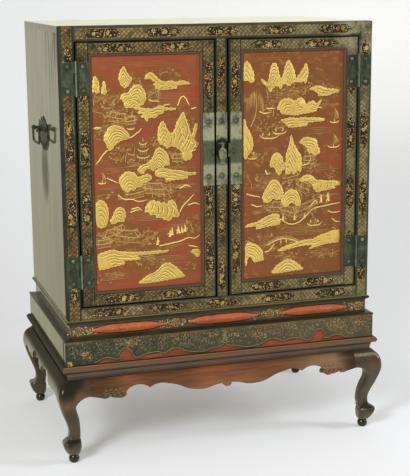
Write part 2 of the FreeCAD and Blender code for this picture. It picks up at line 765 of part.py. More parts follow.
def frame_tenons(edge_x, low, high):
    """Tenons on both ends of a face-frame rail between two levels."""
    middle = (FRONT + STOP_FACE) / 2
    tenon = block(
        (edge_x, edge_x + FRAME_TENON_LENGTH),
        (middle - FRAME_TENON_THICKNESS / 2, middle + FRAME_TENON_THICKNESS / 2),
        (low + TENON_SHOULDER, high - TENON_SHOULDER),
    )
    return both_sides(tenon)


def build_face_frame(envelope):
    """Stiles, rails and mullion. A lip behind each stops the doors."""
    stop_inner = FRAME_INNER - DOOR_STOP_LAP
    whole = (CABINET_BOTTOM, CABINET_TOP)
    step = block(
        (-FRAME_INNER - FRAME_STEP, FRAME_INNER + FRAME_STEP),
        (FRONT - BEYOND, FRONT + FRAME_STEP),
        (FRAME_OPENING_BOTTOM - FRAME_STEP, FRAME_OPENING_TOP + FRAME_STEP),
    )
    top_tenons = frame_tenons(FRAME_INNER, FRAME_OPENING_TOP, CABINET_TOP)
    bottom_tenons = frame_tenons(FRAME_INNER, CABINET_BOTTOM, FRAME_OPENING_BOTTOM)
    stile = block((FRAME_INNER, HALF_WIDTH), (FRONT, STOP_FACE), whole)
    stile = stile.fuse(block((stop_inner, HALF_WIDTH), (STOP_FACE, FRAME_BACK), whole))
    stile = stile.cut([step, top_tenons[0], bottom_tenons[0]]).common(envelope)
    stile = drilled(stile, frame_nail_spots(), FRONT)
    add("face_stile_right", stile)
    add("face_stile_left", mirror_x(stile))

    mullion_low = FRAME_OPENING_BOTTOM - MULLION_TENON
    mullion_high = FRAME_OPENING_TOP + MULLION_TENON
    tongue_back = MULLION_FACE + FRAME_TENON_THICKNESS
    mullion = block((-MULLION_HALF, MULLION_HALF), (MULLION_FACE, STOP_FACE),
                    (FRAME_OPENING_BOTTOM, FRAME_OPENING_TOP))
    flange = block((-MULLION_FLANGE_WIDTH / 2, MULLION_FLANGE_WIDTH / 2),
                   (STOP_FACE, FRAME_BACK),
                   (FRAME_OPENING_BOTTOM + DOOR_STOP_LAP, FRAME_OPENING_TOP - DOOR_STOP_LAP))
    tenon = block((TENON_SHOULDER - MULLION_HALF, MULLION_HALF - TENON_SHOULDER),
                  (MULLION_FACE + FRAME_STEP, tongue_back + FRAME_STEP),
                  (mullion_low, mullion_high))
    tenon = tenon.cut(mullion)
    mullion = mullion.fuse([flange, tenon])
    mullion = drilled(mullion, mullion_nail_spots(), MULLION_FACE)
    mullion = drilled(mullion, pull_staple_spots(), MULLION_FACE, STAPLE_WIRE_RADIUS, STAPLE_TAIL)
    add("mullion", mullion)

    rails = [
        ("face_rail_top", FRAME_OPENING_TOP, CABINET_TOP,
         FRAME_OPENING_TOP - DOOR_STOP_LAP, CABINET_TOP, top_tenons),
        ("face_rail_bottom", CABINET_BOTTOM, FRAME_OPENING_BOTTOM,
         CABINET_BOTTOM, FRAME_OPENING_BOTTOM + DOOR_STOP_LAP, bottom_tenons),
    ]
    for name, low, high, lip_low, lip_high, tenons in rails:
        rail = block((-FRAME_INNER, FRAME_INNER), (FRONT, STOP_FACE), (low, high))
        lip = block((-stop_inner, stop_inner), (STOP_FACE, FRAME_BACK), (lip_low, lip_high))
        rail = rail.fuse([lip, *tenons]).cut([step, tenon]).common(envelope)
        add(name, rail)


def build_carcass(envelope):
    """Sides, top, bottom and back, with the shelves and their bearers."""
    inner_top = CABINET_TOP - BOARD_THICKNESS
    side = block((SIDE_INNER, HALF_WIDTH), (FRAME_BACK, HALF_DEPTH), (CABINET_BOTTOM, inner_top))
    side = side.common(envelope)
    side = side.cut(mirror_x(Part.makeCompound(left_post_tails())))
    add("carcass_side_right", side)
    add("carcass_side_left", mirror_x(side))
    top = block((-HALF_WIDTH, HALF_WIDTH), (FRAME_BACK, HALF_DEPTH), (inner_top, CABINET_TOP))
    add("carcass_top", top.common(envelope))
    add("carcass_back",
        block((-SIDE_INNER, SIDE_INNER), (BACK_FACE, HALF_DEPTH), (CABINET_BOTTOM, inner_top)))
    bottom_top = CABINET_BOTTOM + BOARD_THICKNESS
    add("carcass_bottom",
        block((-SIDE_INNER, SIDE_INNER), (FRAME_BACK, BACK_FACE), (CABINET_BOTTOM, bottom_top)))

    shelf_front = FRAME_BACK + SHELF_FRONT_GAP
    lower = bottom_top + LOWER_SHELF_HEIGHT
    upper = lower + SHELF_THICKNESS + UPPER_SHELF_HEIGHT
    for underside in (lower, upper):
        add("shelves", block((-SIDE_INNER, SIDE_INNER), (shelf_front, BACK_FACE),
                             (underside, underside + SHELF_THICKNESS)))
        bearer_level = (underside - BEARER_SECTION, underside)
        side_bearer = block((SIDE_INNER - BEARER_SECTION, SIDE_INNER),
                            (shelf_front, BACK_FACE - BEARER_SECTION), bearer_level)
        back_bearer = block((-SIDE_INNER, SIDE_INNER),
                            (BACK_FACE - BEARER_SECTION, BACK_FACE), bearer_level)
        add("shelf_bearers", *both_sides(side_bearer), back_bearer)


# ---- Doors -----------------------------------------------------------------
def door_rail(low, high):
    """Left door rail between two levels with its tenons and panel groove."""
    hinge_edge = -DOOR_OUTER + DOOR_STILE_WIDTH
    meeting_edge = -DOOR_INNER - DOOR_STILE_WIDTH
    rail = block((hinge_edge, meeting_edge), (FRONT, DOOR_BACK), (low, high))
    tenon = block((hinge_edge - DOOR_TENON_LENGTH, meeting_edge + DOOR_TENON_LENGTH),
                  (PANEL_FACE, PANEL_BACK), (low + TENON_SHOULDER, high - TENON_SHOULDER))
    return rail.fuse(tenon), tenon


def build_door():
    """The left door and its mirror image, each as a frame, a panel and its beads."""
    hinge_edge = -DOOR_OUTER + DOOR_STILE_WIDTH
    meeting_edge = -DOOR_INNER - DOOR_STILE_WIDTH
    panel_bottom = DOOR_BOTTOM + DOOR_BOTTOM_RAIL_WIDTH
    panel_top = DOOR_TOP - DOOR_TOP_RAIL_WIDTH
    across = (-DOOR_OUTER, -DOOR_INNER)
    whole = block(across, (FRONT, DOOR_BACK), (DOOR_BOTTOM, DOOR_TOP))
    envelope = eased(whole, DOOR_EDGE_ROUND, lambda middle: middle.y < FRONT + BEYOND)
    groove = block((hinge_edge - PANEL_GROOVE_DEPTH, meeting_edge + PANEL_GROOVE_DEPTH),
                   (PANEL_FACE, PANEL_BACK),
                   (panel_bottom - PANEL_GROOVE_DEPTH, panel_top + PANEL_GROOVE_DEPTH))
    bottom_rail, bottom_tenon = door_rail(DOOR_BOTTOM, panel_bottom)
    top_rail, top_tenon = door_rail(panel_top, DOOR_TOP)

    staple_holes = [(-x, z) for x, z in door_staple_spots()]
    stiles = {
        "hinge_stile": (-DOOR_OUTER, hinge_edge),
        "meeting_stile": (meeting_edge, -DOOR_INNER),
    }
    for name, width in stiles.items():
        stile = block(width, (FRONT, DOOR_BACK), (DOOR_BOTTOM, DOOR_TOP))
        stile = stile.cut([groove, bottom_tenon, top_tenon]).common(envelope)
        stile = drilled(stile, [(-x, z) for x, z in door_nail_spots()], FRONT)
        stile = drilled(stile, staple_holes, FRONT, STAPLE_WIRE_RADIUS, STAPLE_TAIL)
        add("door_left_" + name, stile)
        add("door_right_" + name, mirror_x(stile))
    for rail in (bottom_rail, top_rail):
        rail = rail.cut(groove).common(envelope)
        add("door_left_rails", rail)
        add("door_right_rails", mirror_x(rail))

    held = PANEL_GROOVE_DEPTH - PANEL_EDGE_GAP
    panel = block((hinge_edge - held, meeting_edge + held), (PANEL_FACE, PANEL_BACK),
                  (panel_bottom - held, panel_top + held))
    add("door_left_panel", panel)
    add("door_right_panel", mirror_x(panel))

    bead_outline = [
        (-BEAD_WIDTH, 0.0),
        (0.0, 0.0),
        (0.0, PANEL_RECESS),
        ((-0.55 * BEAD_WIDTH, 0.82 * PANEL_RECESS), (-BEAD_WIDTH, BEAD_LIP)),
    ]
    half_x = (meeting_edge - hinge_edge) / 2
    half_z = (panel_top - panel_bottom) / 2
    for run in mitred_ring(half_x, half_z, bead_outline):
        bead = facing_front(run, hinge_edge + half_x, PANEL_FACE, panel_bottom + half_z)
        add("door_left_bead", bead)
        add("door_right_bead", mirror_x(bead))


# ---- Hinges ----------------------------------------------------------------
def frame_nail_spots():
    """(x, z) of the nails in the right frame leaves."""
    x = HINGE_AXIS_X + FRAME_LEAF_REACH / 2 + HINGE_KNUCKLE_RADIUS / 2
    return [(x, bottom + rise) for bottom in HINGE_BOTTOMS
            for rise in (NAIL_INSET, HINGE_HEIGHT - NAIL_INSET)]


def door_nail_spots():
    """(x, z) of the nails in the right door's hinge leaves and lock plate."""
    leaf_x = HINGE_AXIS_X - DOOR_LEAF_REACH / 2 - HINGE_KNUCKLE_RADIUS / 2
    spots = [(leaf_x, bottom + rise) for bottom in HINGE_BOTTOMS
             for rise in (NAIL_INSET, HINGE_HEIGHT - NAIL_INSET)]
    plate_x = DOOR_INNER + LOCK_PLATE_INSET + LOCK_PLATE_WIDTH / 2
    return spots + [(plate_x, level) for level in lock_nail_levels()]


def knuckle(low, high):
    """Barrel of a hinge leaf round the right hinge axis, without its bore."""
    foot = Vector(HINGE_AXIS_X, HINGE_AXIS_Y, low)
    return Part.makeCylinder(HINGE_KNUCKLE_RADIUS, high - low, foot)


def build_hinges():
    """Right hinges and their mirror images: leaves on the face, pins in front."""
    relief = HINGE_KNUCKLE_RADIUS * math.sqrt(2) + HINGE_SWING_GAP
    leaf_y = (FRONT - PLATE_THICKNESS, FRONT)
    for bottom in HINGE_BOTTOMS:
        top = bottom + HINGE_HEIGHT
        middle_low = bottom + (HINGE_HEIGHT - HINGE_MIDDLE_KNUCKLE) / 2
        middle_high = middle_low + HINGE_MIDDLE_KNUCKLE
        bore = Part.makeCylinder(PIN_RADIUS + RUNNING_CLEARANCE, HINGE_HEIGHT,
                                 Vector(HINGE_AXIS_X, HINGE_AXIS_Y, bottom))

        frame_leaf = block((HINGE_AXIS_X + relief, HINGE_AXIS_X + FRAME_LEAF_REACH),
                           leaf_y, (bottom, top))
        for low, high in ((bottom, middle_low - HINGE_KNUCKLE_GAP),
                          (middle_high + HINGE_KNUCKLE_GAP, top)):
            web = block((HINGE_AXIS_X, HINGE_AXIS_X + relief), leaf_y, (low, high))
            frame_leaf = frame_leaf.fuse([web, knuckle(low, high)])
        frame_leaf = drilled(frame_leaf.cut(bore), frame_nail_spots(), leaf_y[0])
        add("hinge_frame_leaves", *both_sides(frame_leaf.removeSplitter()))

        door_leaf = block((HINGE_AXIS_X - DOOR_LEAF_REACH, HINGE_AXIS_X - relief),
                          leaf_y, (bottom, top))
        web = block((HINGE_AXIS_X - relief, HINGE_AXIS_X), leaf_y, (middle_low, middle_high))
        door_leaf = door_leaf.fuse([web, knuckle(middle_low, middle_high)]).cut(bore)
        door_leaf = drilled(door_leaf, door_nail_spots(), leaf_y[0]).removeSplitter()
        add("hinge_right_door_leaves", door_leaf)
        add("hinge_left_door_leaves", mirror_x(door_leaf))

        pin = Part.makeCylinder(PIN_RADIUS, HINGE_HEIGHT,
                                Vector(HINGE_AXIS_X, HINGE_AXIS_Y, bottom))
        heads = [Part.makeCylinder(PIN_HEAD_RADIUS, PIN_HEAD_HEIGHT,
                                   Vector(HINGE_AXIS_X, HINGE_AXIS_Y, level))
                 for level in (bottom - PIN_HEAD_HEIGHT, top)]
        add("hinge_pins", *both_sides(pin.fuse(heads).removeSplitter()))

    add("cabinet_nails", *nails_at(frame_nail_spots(), leaf_y[0]))
    add("cabinet_nails", *nails_at([(-x, z) for x, z in frame_nail_spots()], leaf_y[0]))
    for solid in nails_at(door_nail_spots(), leaf_y[0]):
        add("door_right_nails", solid)
        add("door_left_nails", mirror_x(solid))


# ---- Lock plates, staples and the pendant pull ------------------------------
def lock_nail_levels():
    """Levels of the two nails in every lock plate."""
    return [LOCK_BOTTOM + LOCK_NAIL_INSET, LOCK_TOP - LOCK_NAIL_INSET]


def mullion_nail_spots():
    """(x, z) of the nails in the mullion's lock plate."""
    return [(0.0, level) for level in lock_nail_levels()]


def door_staple_spots():
    """(x, z) of the two legs of the right door's staple."""
    x = DOOR_INNER + LOCK_PLATE_INSET + STAPLE_INSET
    middle = LOCK_MIDDLE - STAPLE_DROP
    return [(x, middle - STAPLE_SPREAD / 2), (x, middle + STAPLE_SPREAD / 2)]


def pull_staple_spots():
    """(x, z) of the two legs of the staple that the pull hangs on."""
    level = LOCK_MIDDLE + PULL_STAPLE_RAISE
    return [(-PULL_STAPLE_SPREAD / 2, level), (PULL_STAPLE_SPREAD / 2, level)]


def staple(spots, surface, reach, bend_radius):
    """A wire staple with its legs at two spots (x, z), standing out of a surface."""
    (x_one, z_one), (x_two, z_two) = spots
    out = surface - reach
    inside = surface + STAPLE_TAIL
    route = [Vector(x_one, inside, z_one), Vector(x_one, out, z_one),
             Vector(x_two, out, z_two), Vector(x_two, inside, z_two)]
    return rod(route, [bend_radius, bend_radius], STAPLE_WIRE_RADIUS)


def pendant_pull(bar_y, bar_z):
    """Fish-shaped pendant hung by a knuckle on the staple's bar."""
    half = PULL_HALF_WIDTH
    neck = PULL_NECK_HALF_WIDTH
    outline = [
        (0.0, 0.0),
        (neck, 0.0),
        (neck, 0.20),
        ((0.86 * half, 0.30), (half, 0.46)),
        ((0.88 * half, 0.63), (0.5 * half, 0.75)),
        ((0.62 * half, 0.90), (half, 1.0)),
        ((0.45 * half, 0.965), (0.0, 0.955)),
    ]

    def place_right(x, share):
        return Vector(x, -PULL_THICKNESS / 2, -share * PULL_LENGTH)

    def place_left(x, share):
        return Vector(-x, -PULL_THICKNESS / 2, -share * PULL_LENGTH)

    edges = edges_along(outline, place_right) + edges_along(outline, place_left)
    face = Part.Face(Part.Wire(Part.__sortEdges__(edges)))
    body = face.extrude(Vector(0, PULL_THICKNESS, 0))
    across = Vector(1, 0, 0)
    start = Vector(-PULL_EYE_WIDTH / 2, 0, 0)
    eye = Part.makeCylinder(PULL_EYE_RADIUS, PULL_EYE_WIDTH, start, across)
    bore = Part.makeCylinder(STAPLE_WIRE_RADIUS + RUNNING_CLEARANCE,
                             PULL_EYE_WIDTH + 2 * BEYOND,
                             start - Vector(BEYOND, 0, 0), across)
    pull = body.fuse(eye).cut(bore).removeSplitter()
    return moved(pull, 0, bar_y, bar_z)


def build_lock():
    """Three plates side by side, a staple on each, and the pull on the middle one."""
    mullion_face = MULLION_FACE - PLATE_THICKNESS
    door_face = FRONT - PLATE_THICKNESS
    level = (LOCK_BOTTOM, LOCK_TOP)
    plate = block((-LOCK_PLATE_WIDTH / 2, LOCK_PLATE_WIDTH / 2), (mullion_face, MULLION_FACE), level)
    plate = drilled(plate, mullion_nail_spots(), mullion_face)
    plate = drilled(plate, pull_staple_spots(), mullion_face, STAPLE_WIRE_RADIUS)
    add("lock_plate_mullion", plate)
    add("cabinet_nails", *nails_at(mullion_nail_spots(), mullion_face))

    edge = DOOR_INNER + LOCK_PLATE_INSET
    door_plate = block((edge, edge + LOCK_PLATE_WIDTH), (door_face, FRONT), level)
    door_plate = drilled(door_plate, door_nail_spots(), door_face)
    door_plate = drilled(door_plate, door_staple_spots(), door_face, STAPLE_WIRE_RADIUS)
    add("lock_plate_left", mirror_x(door_plate))
    tab_top = LOCK_MIDDLE + PULL_STAPLE_RAISE
    tab = block((edge - LOCK_TAB_REACH, edge + BEYOND), (door_face, FRONT),
                (tab_top - LOCK_TAB_HEIGHT, tab_top))
    add("lock_plate_right", door_plate.fuse(tab).removeSplitter())

    door_bend = STAPLE_SPREAD / 2 - RUNNING_CLEARANCE
    loop = staple(door_staple_spots(), door_face, STAPLE_REACH, door_bend)
    add("lock_staple_right", loop)
    add("lock_staple_left", mirror_x(loop))
    pull_bend = (PULL_STAPLE_SPREAD - PULL_EYE_WIDTH) / 2 - BEYOND
    add("pull_staple", staple(pull_staple_spots(), mullion_face, PULL_STAPLE_REACH, pull_bend))
    bar_level = pull_staple_spots()[0][1]
    add("pendant_pull", pendant_pull(mullion_face - PULL_STAPLE_REACH, bar_level))


# ---- Side handles ----------------------------------------------------------
def on_left_side(shape):
    """Places a handle piece, made facing -Y round the plate's middle, on the left side."""
    sideways = turned(shape, Vector(0, 0, 1), -90)
    return moved(sideways, -HALF_WIDTH, 0, CABINET_BOTTOM + HANDLE_RAISE)


def post_tail(x):
    """Tail of a handle post, through the plate and into the cabinet's side."""
    foot = Vector(x, -PLATE_THICKNESS, HANDLE_POST_RAISE)
    return Part.makeCylinder(HANDLE_POST_RADIUS / 2, NAIL_SHANK_LENGTH, foot, Vector(0, 1, 0))


def left_post_tails():
    """The tails of the left handle's posts, which are also the shape of their holes."""
    half = HANDLE_POST_SPREAD / 2
    return [on_left_side(post_tail(x)) for x in (-half, half)]


def handle_plate():
    """Thin cusped back plate with spikes on top, below, at its ends and shoulders."""
    edges = []
    for x_sign, z_sign in ((1, 1), (1, -1), (-1, -1), (-1, 1)):

        def place(x_share, z_share):
            return Vector(x_sign * x_share * HANDLE_PLATE_HALF_LENGTH,
                          -PLATE_THICKNESS,
                          z_sign * z_share * HANDLE_PLATE_HALF_HEIGHT)

        edges.extend(edges_along(HANDLE_PLATE_EDGE, place))
    face = Part.Face(Part.Wire(Part.__sortEdges__(edges)))
    plate = face.extrude(Vector(0, PLATE_THICKNESS, 0))
    half = HANDLE_POST_SPREAD / 2
    return plate.cut([post_tail(-half), post_tail(half)])


def handle_post(x):
    """Post with a foot on the plate and a bored knob that holds the bail."""
    outward = Vector(0, -1, 0)
    foot_start = Vector(x, -PLATE_THICKNESS, HANDLE_POST_RAISE)
    knob_centre = foot_start + outward * HANDLE_POST_LENGTH
    foot = Part.makeCylinder(HANDLE_POST_FOOT_RADIUS, HANDLE_POST_FOOT_HEIGHT, foot_start, outward)
    stem = Part.makeCylinder(HANDLE_POST_RADIUS, HANDLE_POST_LENGTH, foot_start, outward)
    knob = Part.makeSphere(HANDLE_KNOB_RADIUS, knob_centre, Vector(1, 0, 0))
    bore = Part.makeCylinder(BAIL_RADIUS + RUNNING_CLEARANCE,
                             2 * (HANDLE_KNOB_RADIUS + BEYOND),
                             knob_centre - Vector(HANDLE_KNOB_RADIUS + BEYOND, 0, 0),
                             Vector(1, 0, 0))
    return foot.fuse([stem, knob, post_tail(x)]).cut(bore).removeSplitter()


def handle_bail():
    """Round bail that swings in the knobs, hanging at rest."""
    axis_y = -PLATE_THICKNESS - HANDLE_POST_LENGTH
    inner = HANDLE_POST_SPREAD / 2 - BAIL_END
    low = HANDLE_POST_RAISE - BAIL_DROP
    route = [
        Vector(-inner, axis_y, HANDLE_POST_RAISE),
        Vector(-BAIL_HALF_WIDTH, axis_y, HANDLE_POST_RAISE),
        Vector(-BAIL_HALF_WIDTH, axis_y, low),
        Vector(BAIL_HALF_WIDTH, axis_y, low),
        Vector(BAIL_HALF_WIDTH, axis_y, HANDLE_POST_RAISE),
        Vector(inner, axis_y, HANDLE_POST_RAISE),
    ]
    shoulder = BAIL_HALF_WIDTH - HANDLE_POST_SPREAD / 2 - HANDLE_KNOB_RADIUS
    bends = [shoulder, BAIL_BEND_RADIUS, BAIL_BEND_RADIUS, shoulder]
    return rod(route, bends, BAIL_RADIUS)


def build_handles():
    """The left side's handle and its mirror image on the right side."""
    plate = on_left_side(handle_plate())
    add("handle_plates", *both_sides(plate))
    half = HANDLE_POST_SPREAD / 2
    for x in (-half, half):
        add("handle_posts", *both_sides(on_left_side(handle_post(x))))
    bail = on_left_side(handle_bail())
    add("handle_left_bail", bail)
    add("handle_right_bail", mirror_x(bail))


def main():
    envelope = cabinet_envelope()
    build_stand()
    build_base()
    build_face_frame(envelope)
    build_carcass(envelope)
    build_door()
    build_hinges()
    build_lock()
    build_handles()
    os.makedirs("parts", exist_ok=True)
    for name, solids in parts.items():
        shape = solids[0] if len(solids) == 1 else Part.makeCompound(solids)
        shape.exportStep("parts/" + name + ".step")


main()
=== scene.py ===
"""Finishes the lacquer cabinet and its stand: lacquer, gilding, metalwork, wood and the studio."""

import math
import random
from functools import cached_property

import bpy
from bpy.props import FloatProperty, FloatVectorProperty, PointerProperty
from mathutils import Matrix, Vector, noise


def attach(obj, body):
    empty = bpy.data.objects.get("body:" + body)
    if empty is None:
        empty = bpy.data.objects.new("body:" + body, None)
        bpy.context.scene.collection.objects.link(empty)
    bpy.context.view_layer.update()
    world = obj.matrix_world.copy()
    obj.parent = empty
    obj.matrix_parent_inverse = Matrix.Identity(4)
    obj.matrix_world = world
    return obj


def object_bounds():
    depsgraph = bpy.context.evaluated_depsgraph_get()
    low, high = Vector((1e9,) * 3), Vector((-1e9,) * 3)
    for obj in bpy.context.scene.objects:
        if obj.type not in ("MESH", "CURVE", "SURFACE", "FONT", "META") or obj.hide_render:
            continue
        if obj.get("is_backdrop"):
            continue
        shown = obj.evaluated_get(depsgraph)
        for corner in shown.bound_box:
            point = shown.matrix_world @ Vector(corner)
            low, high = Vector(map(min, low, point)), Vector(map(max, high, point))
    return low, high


bl_info = {
    "name": "Lacquer Cabinet on Stand",
    "version": (1, 0, 0),
    "blender": (4, 5, 0),
    "location": "View3D > Sidebar > Cabinet",
    "description": "Lacquers, gilds and lights a two-door cabinet on its cabriole stand",
    "category": "Object",
}

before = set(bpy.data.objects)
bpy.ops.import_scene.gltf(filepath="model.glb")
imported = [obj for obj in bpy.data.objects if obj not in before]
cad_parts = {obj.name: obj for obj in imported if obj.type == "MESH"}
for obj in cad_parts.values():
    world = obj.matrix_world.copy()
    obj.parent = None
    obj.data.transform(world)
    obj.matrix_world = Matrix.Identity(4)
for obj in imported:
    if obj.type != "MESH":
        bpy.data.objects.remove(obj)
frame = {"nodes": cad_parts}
CAD_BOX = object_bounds()
MM = 0.001

# The fronts on which the ornament lies, in millimetres
FRAME_FRONT = -313.0
DOOR_FRONT = -313.0
MULLION_FRONT = -305.5
PANEL_FRONT = -306.0
FRIEZE_FRONT = -308.5
SKIRT_FRONT = -328.0
APRON_FRONT = -345.0

# The red panels: distance from the middle, size and foot
PANEL_INNER = 71.0
PANEL_WIDTH = 339.0
PANEL_HEIGHT = 720.5
PANEL_BOTTOM = 550.0
SHEET_THICKNESS = 0.3

# The bands: middles of the stiles across, of the rails in height, and their cartouches
FRAME_MIDDLE = 483.0
HINGE_STILE_MIDDLE = 437.0
MEETING_STILE_MIDDLE = 44.0
TOP_RAIL_MIDDLE = 1339.5
BOTTOM_RAIL_MIDDLE = 480.5
DOOR_TOP_MIDDLE = 1295.5
DOOR_BOTTOM_MIDDLE = 523.0
DOOR_CENTRES = (1187.0, 1001.0, 815.0, 629.0)
DOOR_RAIL_CENTRES = (332.0, 149.5)
FRAME_CENTRES = (1242.0, 1017.5, 793.0, 568.0)
FRAME_RAIL_CENTRES = (-376.0, -188.0, 0.0, 188.0, 376.0)
MULLION_CENTRES = (1212.5, 740.0, 568.0)
LATTICE_CELL = 14.0
BAND_HALF = 12.5
MULLION_HALF = 11.0

# Where the bands of the doors run, and the doors' sides
DOOR_SPAN = (508, 1308)
SIDES = (("left", -1), ("right", 1))

# The raised rocks: step, size and length of their outlines' lobes, and the gap between their contours
ROCK_STEP = 4.5
ROCK_LOBES = 2.2
LOBE = 13.0
CONTOUR = 9.5

# The carcass
CASE_HALF = 505.0
CASE_TOP = 1362.0
BOARD_WIDTH = 168.0

# Widths of a brush line at its start, middle and end, as shares of its width
EVEN = (1, 1, 1)


def shade(red, green, blue):
    """A linear colour from its 8-bit display values."""

    def linear(value):
        value = value / 255
        return value / 12.92 if value <= 0.04045 else ((value + 0.055) / 1.055) ** 2.4

    return (linear(red), linear(green), linear(blue))


def colour_property(name, description, *value):
    return FloatVectorProperty(
        name=name, description=description, subtype="COLOR", size=3, min=0, max=1, default=shade(*value)
    )


def number_property(name, description, default, least, **more):
    return FloatProperty(name=name, description=description, default=default, min=least, **more)


class CabinetLacquer(bpy.types.PropertyGroup):
    """Colours of the lacquered boards."""

    black: colour_property("Black", "Polished black lacquer of the carcass", 32, 30, 17)
    worn: colour_property("Worn", "Brown ground where the black is rubbed thin", 92, 72, 42)
    lattice_ground: colour_property("Band ground", "Dark lines of the diapered bands", 44, 38, 22)
    lattice_thread: colour_property("Band thread", "Olive gold of the diaper", 128, 108, 60)
    red: colour_property("Red", "Brick red of the door panels", 142, 66, 41)
    wash: colour_property("Wash", "Brown gold dusted over the red", 118, 76, 40)


class CabinetGilding(bpy.types.PropertyGroup):
    """Tones and relief of the gilded ornament."""

    bright: colour_property("Bright gold", "Greenish raised gold of the rocks", 202, 170, 78)
    light: colour_property("Light gold", "Paler raised gold of the right door", 218, 182, 90)
    highlight: colour_property("Highlight", "Ridges, spits, boats and figures", 242, 214, 126)
    contour: colour_property("Contour", "Brown lines drawn on the raised gold", 142, 104, 40)
    ochre: colour_property("Ochre", "Worn raised gold", 182, 152, 66)
    line: colour_property("Line gold", "Halls and branches", 190, 158, 92)
    dim: colour_property("Dim gold", "Foliage and mist", 156, 120, 58)
    band: colour_property("Band gold", "Gold of the sprays in the borders", 200, 162, 86)
    flower: colour_property("Flower red", "Rose red of some petals", 170, 84, 66)
    relief: number_property("Relief", "Height of the raised gold", 0.0005, 0.0001, max=0.001, unit="LENGTH")
    flatness: number_property("Flatness", "Height of a stroke as a share of its width", 0.3, 0.1, max=1)


class CabinetMetal(bpy.types.PropertyGroup):
    """Colours of the tarnished brass."""

    dark: colour_property("Tarnish", "Dark green-grey patina", 54, 62, 46)
    pale: colour_property("Pale metal", "Rubbed metal of the lock plates", 168, 168, 138)


class CabinetWood(bpy.types.PropertyGroup):
    """Colours of the stand and the inner boards."""

    apron: colour_property("Apron", "Warm orange-brown of the apron", 138, 82, 42)
    frame: colour_property("Top frame", "Brown of the stand's moulded frame", 100, 74, 46)
    leg: colour_property("Leg", "Dark brown of the legs", 62, 48, 28)
    dark: colour_property("Dark streak", "Dark grain and old polish", 44, 32, 24)
    inner: colour_property("Inner board", "Plain wood of the unseen boards", 150, 118, 82)


class CabinetStudio(bpy.types.PropertyGroup):
    """Light, floor and camera."""

    floor: colour_property("Floor", "Pale paper sweep", 227, 230, 240)
    # Painted shade: the paper is laid darker towards its left end
    floor_left_shade: colour_property("Floor at the left", "Paper darkened at its left end as painted shade", 192, 195, 197)
    glow: colour_property("Paper glow", "Light the paper sends to the eye only", 138, 137, 130)
    mirror_glow: colour_property("Mirrored glow", "Light the paper sends into reflections only", 134, 125, 40)
    backdrop: colour_property("Backdrop", "Pale ground behind everything", 236, 237, 236)
    sky: number_property("Room light", "Even light of the room", 0.38, 0)
    key: number_property("Key lamp", "Soft lamp at the left front", 101, 0, unit="POWER")
    fill: number_property("Fill lamp", "Soft lamp at the right", 58, 0, unit="POWER")
    lamp_size: number_property("Lamp size", "Width of both lamps", 0.9, 0.1, unit="LENGTH")
    lens: number_property("Lens", "Focal length in millimetres", 91.42, 10)


# ---------------------------------------------------------------- finishes


def operation(name, swapped=False):
    """One kind of sum of an amount with others."""

    def worked(amount, *others):
        values = (*others, amount) if swapped else (amount, *others)
        return amount.finish.node("Math", {"operation": name}, dict(enumerate(values)))

    return worked


class Amount:
    """An output of a node, used in sums as a number would be."""

    def __init__(self, finish, socket):
        self.finish, self.socket = finish, socket

    __add__ = __radd__ = operation("ADD")
    __mul__ = __rmul__ = operation("MULTIPLY")
    __sub__ = operation("SUBTRACT")
    __rsub__ = operation("SUBTRACT", swapped=True)
    __gt__ = operation("GREATER_THAN")
    __abs__ = operation("ABSOLUTE")
    larger = operation("MAXIMUM")
    smaller = operation("MINIMUM")
    fraction = operation("FRACT")


